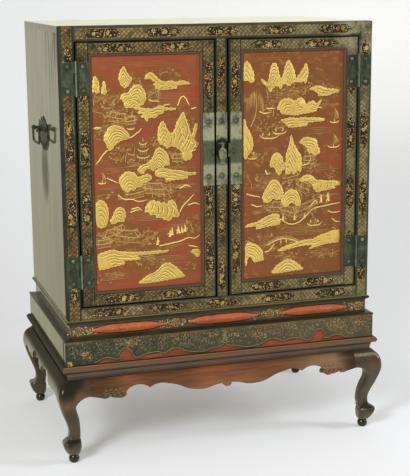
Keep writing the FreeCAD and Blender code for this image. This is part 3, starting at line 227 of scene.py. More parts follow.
class Finish:
    """A procedural material, the nodes that make it and its colour so far."""

    def __init__(self, name, colour=None, owner=None):
        self.material = owner or bpy.data.materials.new(name)
        self.material.use_nodes = True
        self.tree = self.material.node_tree
        self.tree.nodes.clear()
        self.colour = colour

    @cached_property
    def place(self):
        return self.node("TexCoord", output="Object")

    @cached_property
    def axes(self):
        """The place's three numbers, in millimetres."""
        return [part * (1 / MM) for part in self.parts(self.place)]

    x = property(lambda self: self.axes[0])
    y = property(lambda self: self.axes[1])
    z = property(lambda self: self.axes[2])

    def parts(self, vector):
        """The three numbers of a vector."""
        outputs = self.node("SeparateXYZ", inputs={"Vector": vector}).socket.node.outputs
        return [Amount(self, outputs[axis]) for axis in "XYZ"]

    def frontward(self):
        """1 on faces that look to the front, 0 on those that look aside or up."""
        depth = self.parts(self.node("TexCoord", output="Normal"))[1]
        return self.soft(depth * -1, 0.25, 0.75)

    def upward(self, low=0.3, high=0.8):
        """1 on faces that look up or down."""
        height = self.parts(self.node("TexCoord", output="Normal"))[2]
        return self.soft(abs(height), low, high)

    def near(self, xs, zs, reach):
        """1 at each crossing of these places, in millimetres, fading to 0 at that distance from it."""
        across = along = 1e4
        for place in xs:
            across = abs(abs(self.x) - place).smaller(across)
        for place in zs:
            along = abs(self.z - place).smaller(along)
        return self.soft(across * across + along * along, reach ** 2, (reach * 0.3) ** 2)

    def away(self, *gaps):
        """Squared distance from a middle, 1 at the reach; each gap is a place, its middle and its reach."""
        total = 0.0
        for place, middle, reach in gaps:
            share = (place - middle) * (1 / reach)
            total = share * share + total
        return total

    def seen(self):
        """1 where the eye meets the surface, straight or through glass, 0 for the room's light."""
        whole = self.node("LightPath", output="Is Camera Ray")
        return whole.larger(Amount(self, whole.socket.node.outputs["Is Transmission Ray"]))

    def mirrored(self):
        """1 for rays that come from a gloss."""
        return self.node("LightPath", output="Is Glossy Ray")

    def behind(self):
        """1 where the surface is met from its back."""
        return self.node("NewGeometry", output="Backfacing")

    def node(self, kind, settings=None, inputs=None, output=0):
        """Adds one node: its settings first, then the values and links of its sockets."""
        made = self.tree.nodes.new("ShaderNode" + kind)
        for name, value in (settings or {}).items():
            setattr(made, name, value)
        for name, value in (inputs or {}).items():
            if isinstance(value, Amount):
                self.tree.links.new(value.socket, made.inputs[name])
            else:
                made.inputs[name].default_value = value
        return Amount(self, made.outputs[output]) if made.outputs else None

    def soft(self, value, low, high):
        """0 below low, 1 above high and a smooth step between; low may be the larger."""
        sockets = {"Value": value, "From Min": low, "From Max": high}
        return self.node("MapRange", {"interpolation_type": "SMOOTHSTEP"}, sockets)

    def cloud(self, scale, detail=3.0, roughness=0.5, stretch=(1, 1, 1), shift=0.0, distortion=0.0):
        """Noise of about that many blots to the metre, 0 to 1."""
        sockets = {"Vector": self.place, "Scale": stretch, "Location": (shift, shift, shift)}
        sockets = {"Vector": self.node("Mapping", inputs=sockets), "Scale": scale}
        sockets.update({"Detail": detail, "Roughness": roughness, "Distortion": distortion})
        return self.node("TexNoise", inputs=sockets)

    def blots(self, low, high, *noise_values, **noise_settings):
        """Soft-edged blots of noise, 0 where it is below low and 1 where it is above high."""
        return self.soft(self.cloud(*noise_values, **noise_settings), low, high)

    def blend(self, mask, first, second):
        """The first colour where the mask is 0 and the second where it is 1."""

        def four(colour):
            return colour if isinstance(colour, Amount) else (*colour, 1)

        return self.node("Mix", {"data_type": "RGBA"}, {0: mask, 6: four(first), 7: four(second)}, 2)

    def lay(self, mask, tone):
        """Lays a tone over the colour so far, where the mask is 1."""
        self.colour = self.blend(mask, self.colour, tone)

    def surface(self, roughness, height, depth=0.0005, more=None):
        """Ends the material in one Principled shader; more holds further sockets by name."""
        sockets = {"Base Color": self.colour, "Roughness": roughness, **(more or {})}
        sockets["Normal"] = self.node("Bump", inputs={"Height": height, "Distance": depth, "Strength": 1.0})
        shader = self.node("BsdfPrincipled", inputs=sockets)
        self.node("OutputMaterial", inputs={"Surface": shader})
        return self.material


# Old lacquer's dull, warm gloss
MUTED = {"IOR": 1.35, "Specular Tint": (1.0, 0.88, 0.68, 1.0)}

# Plain ground beside a band, and the same where it has faded
DARK_GROUND = ((34, 38, 28), (54, 58, 44))
FADED_GROUND = ((60, 56, 42), (90, 80, 58))


def black_lacquer(name, worn_share=0.35, coat=0.0):
    """Old polished black: olive-black ground, brown where it is rubbed, faint brush streaks."""
    colours = bpy.context.scene.cabinet_lacquer
    f = Finish(name, colours.black)
    rubbed = f.blots(0.62 - 0.2 * worn_share, 0.82, 9, 6, 0.62) * worn_share
    streak = f.cloud(7, 4, 0.6, stretch=(9, 9, 0.7), shift=3)
    f.lay(f.soft(streak, 0.35, 0.75) * 0.5, shade(46, 42, 24))
    f.lay(rubbed, colours.worn)
    roughness = 0.12 + f.blots(0.3, 0.8, 26, 4, 0.55, shift=7) * 0.1 + rubbed * 0.3
    gloss = {"Coat Weight": f.upward() * coat, "Coat IOR": 2.4, "Coat Roughness": 0.08}
    return f.surface(roughness, f.cloud(60) * 0.25 + streak * 0.4, 0.0004, gloss)


def side_lacquer(name):
    """The sides' polished black, hazed olive, scratched near the front top, stained under the handle
    and darkened behind the handle as painted shade.
    """
    f = Finish(name)
    streak = f.cloud(16, 6, 0.7, stretch=(4, 4, 0.22), shift=3)
    f.colour = f.blend(f.soft(streak, 0.35, 0.7), shade(66, 63, 36), shade(88, 84, 54))
    f.lay(f.blots(0.5, 0.75, 5, 4, 0.55, shift=7) * 0.5, shade(104, 78, 50))
    front_top = f.soft(f.z, 1090, 1330) * f.soft(f.y, -20, -220)
    scratch = f.blots(0.52, 0.58, 9, stretch=(6, 6, 0.3), shift=1) * (0.06 + front_top * 0.6)
    chipped = f.soft(f.z + f.cloud(60) * 22, 1356, 1366) * f.soft(f.y, 60, -160)
    under_handle = f.soft(f.away((f.y, 0, 78), (f.z, 885, 115)), 1.2, 0.1)
    stain = under_handle * (0.1 + f.cloud(24, 5, 0.65, stretch=(1, 1, 0.5)) * 0.95)
    # Painted shade behind the handle: the lacquer round it is laid dark so that the handle reads as one dark
    # mass
    behind_handle = f.away((f.y, 0, 100), (f.z, 1010, 56)) + (f.cloud(30) - 0.5) * 1.6
    shade_behind_handle = f.soft(behind_handle, 1.1, 0.8) * 0.9
    edge = f.soft(abs(f.y + 300), 16, 6) * f.blots(0.3, 0.5, 11, 5, 0.7, shift=6)
    # Scratches, the stain under the handle, the front edge, the painted shade behind the handle and chips,
    # all laid dark
    dark = scratch.larger(stain).larger(edge * 0.8).larger(shade_behind_handle).larger(chipped * 0.8)
    f.lay(dark, shade(28, 26, 14))
    coat = (1 - dark * 0.92) * (0.84 + f.soft(streak, 0.3, 0.7) * 0.16)
    gloss = {"IOR": 1.02, "Coat Weight": coat, "Coat IOR": 1.62, "Coat Roughness": 0.08}
    return f.surface(0.5, streak * 0.4 + f.cloud(45) * 0.2, 0.0002, gloss)


def banded_lacquer(name, centres, upright, tone=(132, 108, 62), wear=0.5, ground=DARK_GROUND, half=BAND_HALF):
    """A stile or rail with a diapered band along its middle, dotted along its edges, paler to the right as
    painted light.
    """
    colours = bpy.context.scene.cabinet_lacquer
    f = Finish(name)
    across, along = (f.x, f.z) if upright else (f.z, f.x)
    low, high = min(centres), max(centres)
    across = across - (low + (high - low) * (across > (low + high) / 2))
    warp = f.cloud(45, 3, 0.6) * 5

    def thread(value, thick, thin):
        return f.soft(abs((value * (1 / LATTICE_CELL) + 0.5).fraction() - 0.5), thick, thin)

    mesh = thread(across + along + warp, 0.26, 0.06).larger(thread(across - along + warp, 0.26, 0.06))
    beads = thread(along + warp, 0.3, 0.12)
    distance = abs(across)
    inside = f.soft(distance, half + 1.0, half - 1.0)
    rubbed = f.blots(0.38, 0.62, 30, 6, 0.72, shift=2)
    # Painted light: the band, its lines and its plain ground are laid paler towards the right of the front
    right = f.soft(f.x, -260, 440)
    f.colour = f.blend(f.blots(0.38, 0.66, 5, 4, 0.6, shift=9), shade(*tone), colours.lattice_thread)
    f.lay(f.blots(0.42, 0.66, 36, 5, 0.7, shift=5) * 0.8, shade(86, 56, 30))
    f.lay(f.blots(0.54, 0.66, 90, 4, 0.7, shift=12) * 0.6, shade(176, 150, 96))
    f.lay(right * 0.6, shade(162, 150, 104))
    lines = f.blend(right, colours.lattice_ground, shade(70, 66, 44))
    f.lay((mesh * 0.75).larger(1 - rubbed * 1.5), lines)
    plain = f.blend(f.blots(0.4, 0.7, 9, 5, 0.6, shift=4), shade(*ground[0]), shade(*ground[1]))
    plain = f.blend(right * 0.6, plain, shade(70, 72, 54))
    f.colour = f.blend(inside * (0.6 + rubbed * 0.3), plain, f.colour)
    edge_line = f.soft(abs(distance - half - 1), 2.2, 0.8) * (0.15 + beads * 0.85) * (0.2 + rubbed * 0.8)
    f.lay(edge_line * 0.75, shade(160, 142, 94))
    chips = f.blots(0.68 - 0.14 * wear, 0.74, 16, 6, 0.72, shift=8) * f.soft(distance, half - 6, half + 3)
    f.lay(chips * 0.8, shade(98, 72, 46))
    right_corner = f.near((CASE_HALF,), (CASE_TOP,), 150) * f.soft(f.x, 0, 100)
    f.lay(right_corner * f.blots(0.34, 0.56, 24, 5, 0.65, shift=15) * 0.8, shade(158, 150, 128))
    aside = 1 - f.frontward()
    f.lay(aside * 0.8, shade(28, 25, 16))
    roughness = 0.3 + rubbed * inside * 0.14 + chips * 0.2 + aside * 0.6
    return f.surface(roughness, edge_line * 0.4 - chips * 0.8 + f.cloud(90, 3, 0.6) * 0.4, 0.00025, MUTED)


def worn_moulding(name, lines, base=(58, 52, 34), side=(36, 40, 28)):
    """A dark moulding, browner in front than at the sides, with long rubbed lines.

    Each line is a height, half its width and a tone.
    """
    f = Finish(name)
    chips = f.blots(0.54, 0.7, 30, 6, 0.72, shift=4)
    dash = f.blots(0.3, 0.52, 16, 5, 0.72, stretch=(1, 1, 2))
    standing = 1 - f.upward(0.8, 0.98)
    f.colour = f.blend(f.frontward(), shade(*side), shade(*base))
    f.lay(f.blots(0.46, 0.7, 10, 5, 0.62, stretch=(0.6, 0.6, 9), shift=2) * 0.35, shade(98, 78, 46))
    f.lay(chips * 0.4, shade(34, 32, 22))
    for height, half, tone in lines:
        line = f.soft(abs(f.z - height), half + 0.6, half - 0.4)
        f.lay(line * (0.3 + dash * 0.65) * standing, shade(*tone))
    return f.surface(0.28 + chips * 0.2 + f.cloud(50) * 0.1, chips * 0.6 + f.cloud(70) * 0.4, 0.0004, MUTED)


def skirt_lacquer(name):
    """Slate black of the scalloped skirt, bluer at its left end, warmer to the right, powdered with gold."""
    f = Finish(name)
    mottle = f.blots(0.38, 0.66, 22, 6, 0.66)
    powder = f.blots(0.55, 0.66, 150, 4, 0.7, shift=3) * f.blots(0.36, 0.6, 14, 5, 0.6, shift=6)
    f.colour = f.blend(f.soft(f.x, -300, 420), shade(50, 49, 36), shade(86, 76, 53))
    f.lay(f.soft(f.x, -400, -500) * 0.7, shade(32, 40, 38))
    f.lay(mottle * 0.55, shade(60, 60, 48))
    f.lay(f.blots(0.55, 0.7, 40, 5, 0.7, shift=12) * 0.5, shade(112, 84, 50))
    f.lay(f.soft(f.z, 386, 397) * f.blots(0.4, 0.6, 16, 5, 0.65, shift=8) * 0.8, shade(120, 88, 48))
    f.lay(powder * 0.6, shade(142, 128, 88))
    return f.surface(0.34 + mottle * 0.16, powder * 0.6 + f.cloud(70, 4) * 0.5, 0.0003, MUTED)


def picture_ground(name):
    """Brick-red lacquer with streaks, and brown gold dusted where the piece's own wash attribute says."""
    colours = bpy.context.scene.cabinet_lacquer
    f = Finish(name)
    wash = f.node("Attribute", {"attribute_name": "wash"}, output="Fac")
    streak = f.cloud(6, 5, 0.6, stretch=(1, 1, 8))
    f.colour = f.blend(f.soft(streak, 0.3, 0.72), colours.red, shade(128, 78, 50))
    f.lay(f.blots(0.45, 0.75, 18, 6, 0.62, shift=2) * 0.5, shade(156, 86, 50))
    f.lay(f.blots(0.56, 0.68, 26, 5, 0.6, stretch=(0.4, 1, 9), shift=11) * 0.3, shade(160, 108, 62))
    dust = f.cloud(34, 7, 0.7, stretch=(1, 1, 1.8), shift=5)
    gold = f.blend(f.soft(dust, 0.5, 0.74), colours.wash, shade(176, 126, 64))
    specks = f.blots(0.6, 0.72, 150, 3, 0.6, shift=8) * 0.25
    dusted = f.soft(wash * 1.1 + (dust - 0.5) * 1.4, 0.2, 0.85) * 0.85
    f.lay(dusted.larger(specks * f.soft(streak, 0.4, 0.6)), gold)
    return f.surface(0.36 + f.cloud(45) * 0.12, f.cloud(60, 5, 0.6) * 0.5 + dusted * 0.3, 0.0003, MUTED)


def plain_red(name, *tone):
    """Red lacquer, rubbed and stained."""
    f = Finish(name, shade(*tone))
    f.lay(f.blots(0.45, 0.75, 16, 6, 0.65) * 0.65, shade(112, 60, 40))
    f.lay(f.blots(0.4, 0.7, 8, 4, 0.6, stretch=(1, 1, 9), shift=3) * 0.35, shade(200, 104, 62))
    return f.surface(0.35 + f.cloud(40) * 0.15, f.cloud(70, 4, 0.6), 0.0003, MUTED)


def gilt(name, colour, rubbed_tone, metallic=0.35, roughness=0.42, worn=0.6):
    """Raised gold with brush streaks, rubbed here and there to its ground."""
    f = Finish(name, colour)
    blots = f.cloud(42, 6, 0.62)
    fine = f.cloud(170, 3, 0.6, shift=4)
    f.lay(f.blots(0.35, 0.7, 14, shift=6) * 0.5, [min(1, c * 1.25) for c in colour])
    rubbed = f.soft(blots + (fine - 0.5) * 0.35, 0.5, 0.74) * worn
    brushed = f.blots(0.42, 0.64, 120, 4, 0.65, stretch=(1, 1, 0.5), shift=9) * worn * 0.5
    f.lay(rubbed.larger(brushed), rubbed_tone)
    return f.surface(roughness + fine * 0.16, fine * 0.6 + blots * 0.8, 0.0003, {"Metallic": metallic})


def plate_black(name):
    """Deep black of the border cartouches."""
    f = Finish(name)
    bloom = f.blots(0.4, 0.75, 24, 5, 0.6)
    f.colour = f.blend(bloom, shade(30, 28, 18), shade(56, 44, 28))
    f.lay(f.blots(0.56, 0.66, 120, 4, 0.6, shift=2) * 0.6, shade(96, 84, 52))
    return f.surface(0.34 + bloom * 0.2, f.cloud(80), 0.0002, MUTED)


def tarnished(name, dark, pale, bright=0.5, *, nails=None, bands=(), stain=(48, 54, 40), knuckle=None,
              pull_shade=None, metallic=0.5):
    """Old brass: green-grey patina and rubbed metal, stained round its nails,
    with bands of height whose pale ones are painted highlights.

    Nails are their places across and their heights. Each band is its foot, its top and a tone. The knuckle is
    the place across of a pale joint, a painted highlight. The pull shade is a height and its reach across and
    up, where shade is painted behind the pull.
    """
    f = Finish(name)
    blots = f.cloud(38, 7, 0.66)
    grain = f.cloud(160, 4, 0.6, shift=3)
    f.colour = f.blend(f.soft(blots + (grain - 0.5) * 0.5, 0.38, 0.66) * bright, dark, pale)
    f.lay(f.blots(0.45, 0.68, 16, 5, 0.6, stretch=(5, 5, 1), shift=5) * 0.5, shade(*stain))
    # Bands of height: the pale ones are painted highlights
    for low, high, tone in bands:
        middle, half = (low + high) / 2, (high - low) / 2
        band = f.soft(abs(f.z - middle + (blots - 0.5) * 18), half + 6, half - 6)
        f.lay(band * (0.6 + blots * 0.4), shade(*tone))
    # Painted highlight along the hinge's knuckle
    if knuckle:
        joint = f.soft(abs(abs(f.x) - knuckle), 2.2, 1.0)
        f.lay(joint * (0.2 + blots * 0.6), shade(144, 150, 126))
    if nails:
        f.lay(f.near(*nails, 14) * f.soft(blots, 0.25, 0.55) * 0.9, shade(*stain))
    # Painted shade behind the pull, which also stands for the dark loops of its staple
    if pull_shade:
        height, wide, tall = pull_shade
        shade_behind_pull = f.away((f.x, 0, wide), (f.z, height, tall)) + (grain - 0.5) * 0.9
        f.lay(f.soft(shade_behind_pull, 1.25, 0.8) * 0.9, shade(24, 26, 18))
    f.lay(f.blots(0.6, 0.72, 55, 5, 0.7, shift=9) * 0.5, shade(76, 92, 66))
    chased = f.blots(0.58, 0.64, 70, 2, 0.4, stretch=(1, 1, 0.6), distortion=1.5) * 0.5
    f.lay(chased, shade(*stain))
    return f.surface(0.42 + blots * 0.25, blots * 0.7 + grain * 0.5 - chased, 0.0004, {"Metallic": metallic})


def along_grain(axis, most, least):
    """Stretches of noise that run along one axis."""
    return [least if name == axis else most for name in "xyz"]


def polished_wood(name, base, side, along, streaks, *, red=(134, 66, 34), gloss=0.2, dark_patches=(), lines=(),
                  lightened=0.0):
    """Waxed hardwood, darker on its side faces as painted shade: grain along one axis, old polish, rubbed red
    edges.

    Each line is a height, half its width and a tone. Each dark patch is its place, its reach and its
    strength.
    """
    f = Finish(name, base)
    dark = bpy.context.scene.cabinet_wood.dark
    fibres = along_grain(along, 14, 0.9)
    grain = f.cloud(9, 7, 0.66, stretch=fibres, distortion=0.4)
    figure = f.cloud(7, 4, 0.6, stretch=along_grain(along, 4, 0.5), shift=5)
    pores = f.blots(0.58, 0.7, 60, 3, 0.6, stretch=fibres, shift=2)
    facing = f.frontward()
    # Lines of height; on the stand they are painted shade and painted highlights
    for height, half, tone in lines:
        f.lay(f.soft(abs(f.z - height + (grain - 0.5) * 2), half + 1.2, half - 1.2), shade(*tone))
    # Painted shade: faces that look aside take the darker side tone
    f.colour = f.blend(facing, side, f.colour)
    f.lay(f.soft(grain, 0.35, 0.7) * streaks, dark)
    f.lay(f.soft(figure, 0.5, 0.78) * streaks, [c * 0.6 for c in dark])
    f.lay(f.blots(0.45, 0.72, 6, 4, 0.6, shift=8) * 0.5 * facing, shade(*red))
    f.lay(pores * 0.4, [c * 0.5 for c in dark])
    # Painted reflection: the wood is laid paler from about 120 to 450 mm right of the middle
    f.lay(f.soft(f.x, 120, 360) * f.soft(f.x, 450, 380) * lightened, shade(136, 114, 80))
    darkened = 0.0
    for middle, reach, strength in dark_patches:
        gaps = [(part, at, reach) for part, at in zip(f.axes, middle)]
        spot = f.soft(f.away(*gaps) + (figure - 0.5) * 1.6, 1.4, 0.1) * strength
        darkened = spot.larger(darkened)
        f.lay(spot, shade(24, 24, 16))
    dull = (1 - facing) * f.soft(f.z, 236, 262)
    coat = (f.soft(figure, 0.2, 0.6) * 0.4 + 0.6) * (1 - dull) * (1 - darkened * 0.9)
    polish = {"Coat Weight": coat, "Coat Roughness": 0.3, **MUTED}
    return f.surface(gloss + grain * 0.12 + dull * 0.4, grain * 0.7 + pores * 0.5, 0.0005, polish)


def plain_board(name, base, upright=False):
    """Unfinished inner wood; upright boards stand side by side with a dark joint between them."""
    f = Finish(name, base)
    grain = f.cloud(8, 6, 0.62, stretch=(16, 16, 1) if upright else (1, 16, 16), distortion=0.6)
    f.lay(f.soft(grain, 0.35, 0.7) * 0.7, [c * 0.5 for c in base])
    f.lay(f.blots(0.42, 0.72, 5, 5, 0.6, shift=3) * 0.5, [c * 0.42 for c in base])
    joint = f.soft(abs((f.x * (1 / BOARD_WIDTH) + 0.5).fraction() - 0.5), 0.012, 0.004) if upright else 0.0
    f.lay(joint, [c * 0.15 for c in base])
    return f.surface(0.6 + grain * 0.2, grain - joint * 2, 0.0006)


def paint(material, *names):
    """Gives these nodes of the frame one finish."""
    for name in names:
        for slot in frame["nodes"][name].material_slots:
            slot.material = material


# ---------------------------------------------------------------- drawing


def clear_selection():
    bpy.ops.object.select_all(action="DESELECT")


def settle():
    """Keeps the place, turn and size of the picked piece in its points."""
    bpy.ops.object.transform_apply(location=True, rotation=True, scale=True)


def seat_on_front(obj, front):
    """Turns a flat drawing upright and lays it on a front at this y, in millimetres."""
    upright = Matrix.Translation((0, front * MM, 0)) @ Matrix.Rotation(math.pi / 2, 4, "X")
    obj.matrix_world = upright @ obj.matrix_world
    settle()


def swelling(share, taper):
    """The width of a brush line there, from 0 at its start to 2 at its end, as a share of its full width."""
    if share <= 1:
        return taper[0] + (taper[1] - taper[0]) * math.sin(share * math.pi / 2)
    return taper[1] + (taper[2] - taper[1]) * (1 - math.cos((share - 1) * math.pi / 2))


class Drawing:
    """Fills and strokes of one tone, drawn flat in millimetres and laid on one front."""

    def __init__(self, name, body, front, material, slot):
        self.name, self.body, self.front, self.material, self.slot = name, body, front, material, slot
        self.strokes, self.fills = [], []

    def stroke(self, points, width, lift=0.0, taper=(0.25, 1.0, 0.25)):
        """A brush line; its width swells and thins as taper says from start to end."""
        self.strokes.append((list(points), width, lift, taper))

    def dot(self, x, y, radius, lift=0.0):
        self.stroke([(x - radius * 0.25, y), (x + radius * 0.25, y)], radius * 2, lift, EVEN)

    def fill(self, outline, lift=0.0, smooth=True):
        """A closed shape of solid tone."""
        self.fills.append((list(outline), lift, smooth))

    def curve(self, dimensions, steps, thickness, lift):
        """An empty curve at this height over the front."""
        bpy.ops.curve.primitive_bezier_curve_add()
        curve = bpy.context.object
        curve.data.splines.clear()
        curve.data.dimensions = dimensions
        curve.data.resolution_u = steps
        curve.data.bevel_depth = thickness
        curve.data.bevel_resolution = 0
        curve.location = (0, 0, lift * MM)
        return curve

    def spline(self, curve, points, cyclic, smooth=True):
        spline = curve.data.splines.new("BEZIER")
        spline.bezier_points.add(len(points) - 1)
        spline.use_cyclic_u = cyclic
        for bezier, (x, y) in zip(spline.bezier_points, points):
            bezier.co = (x * MM, y * MM, 0)
            bezier.handle_left_type = bezier.handle_right_type = "AUTO" if smooth else "VECTOR"
        return spline

    def curves(self):
        """One curve for the strokes of each height, then one for each fill."""
        sizes = bpy.context.scene.cabinet_gilding
        for level in sorted({round(lift, 2) for _, _, lift, _ in self.strokes}):
            curve = self.curve("3D", 3, MM, level)
            curve.data.twist_mode = "Z_UP"
            curve.data.use_fill_caps = True
            curve.scale = (1, 1, sizes.flatness)
            for points, width, lift, taper in self.strokes:
                if round(lift, 2) == level:
                    spline = self.spline(curve, points, False)
                    for i, bezier in enumerate(spline.bezier_points):
                        bezier.radius = width / 2 * swelling(2 * i / (len(points) - 1), taper)
            yield curve
        for outline, lift, smooth in self.fills:
            curve = self.curve("2D", 4, sizes.relief * 0.5, lift)
            curve.data.fill_mode = "BOTH"
            curve.data.extrude = sizes.relief * 0.5
            curve.data.offset = -sizes.relief * 0.5
            self.spline(curve, outline, True, smooth)
            yield curve

    def make(self):
        """Turns the drawing into one mesh that rides on its body."""
        made = list(self.curves())
        clear_selection()
        for curve in made:
            curve.select_set(True)
        bpy.context.view_layer.objects.active = made[0]
        bpy.ops.object.convert(target="MESH")
        settle()
        if len(made) > 1:
            bpy.ops.object.join()
        obj = bpy.context.object
        obj.name = obj.data.name = self.name
        bpy.ops.object.mode_set(mode="EDIT")
        bpy.ops.mesh.select_all(action="SELECT")
        bpy.ops.mesh.remove_doubles(threshold=0.000005)
        bpy.ops.mesh.normals_make_consistent(inside=False)
        bpy.ops.object.mode_set(mode="OBJECT")
        seat_on_front(obj, self.front)
        bpy.ops.object.shade_smooth_by_angle(angle=math.radians(50))
        obj.data.materials.clear()
        obj.data.materials.append(self.material)
        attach(obj, self.body)
        self.slot
        return obj


def wobble(value, seed, size):
    """A smooth random offset along a line."""
    return size * noise.noise(Vector((value, seed * 7.31, seed * 1.7)))


def moved(points, x, y, size=1.0):
    """Points given as shares of a size, laid round (x, y)."""
    return [(x + a * size, y + b * size) for a, b in points]


def beside(x, y, turn, reach, flat=1.0):
    """The place that far from (x, y) at that turn."""
    return x + math.cos(turn) * reach, y + math.sin(turn) * reach * flat


def ring_of(quarter, half, width):
    """A closed outline from a quarter of it, in shares of half its length and half its width."""
    ring = [(a * half, b * width) for a, b in quarter]
    ring += [(a, -b) for a, b in reversed(ring[:-1])]
    return ring + [(-a, b) for a, b in reversed(ring[1:-1])]


def arc(drawing, x, y, size, turn, sweep, width, lift=0.1):
    """A short curved dab, one end thinner."""
    points = [beside(x, y, turn + sweep * k / 4, size) for k in range(5)]
    drawing.stroke(points, width, lift, (0.3, 1, 0.5))


def freehand(points, step, lobes, seed):
    """A brush line through these points, trembling a little and swelling outwards in round lobes."""
    line = []
    run = 0.0
    ends = [points[0], *points, points[-1]]
    for a, b, c, d in zip(ends, ends[1:], ends[2:], ends[3:]):
        length = math.dist(b, c)
        pieces = max(1, round(length / step))
        for k in range(pieces):
            t = k / pieces
            x, y = (
                0.5 * (2 * q + (r - p) * t + (2 * p - 5 * q + 4 * r - s) * t ** 2
                       + (3 * q - p - 3 * r + s) * t ** 3)
                for p, q, r, s in zip(a, b, c, d)
            )
            distance = run + length * t
            swell = lobes * (abs(math.sin(math.pi * distance / LOBE + seed)) - 0.5)
            swell += wobble(distance * 0.11, seed, 1.5)
            line.append((x - (c[1] - b[1]) / length * swell, y + (c[0] - b[0]) / length * swell))
        run += length
    return [*line, points[-1]]


def encloses(outline, x, y):
    """Whether a closed outline goes round the point."""
    inside = False
    for (xa, ya), (xb, yb) in zip(outline, outline[1:] + outline[:1]):
        if (ya > y) != (yb > y) and x < xa + (y - ya) / (yb - ya) * (xb - xa):
            inside = not inside
    return inside


def pairs(values):
    return list(zip(values[::2], values[1::2]))


# How far inside an outline a line keeps, in the four directions
LINE_MARGIN = ((0, 2.6), (0, -2.6), (-2.2, 0), (2.2, 0))


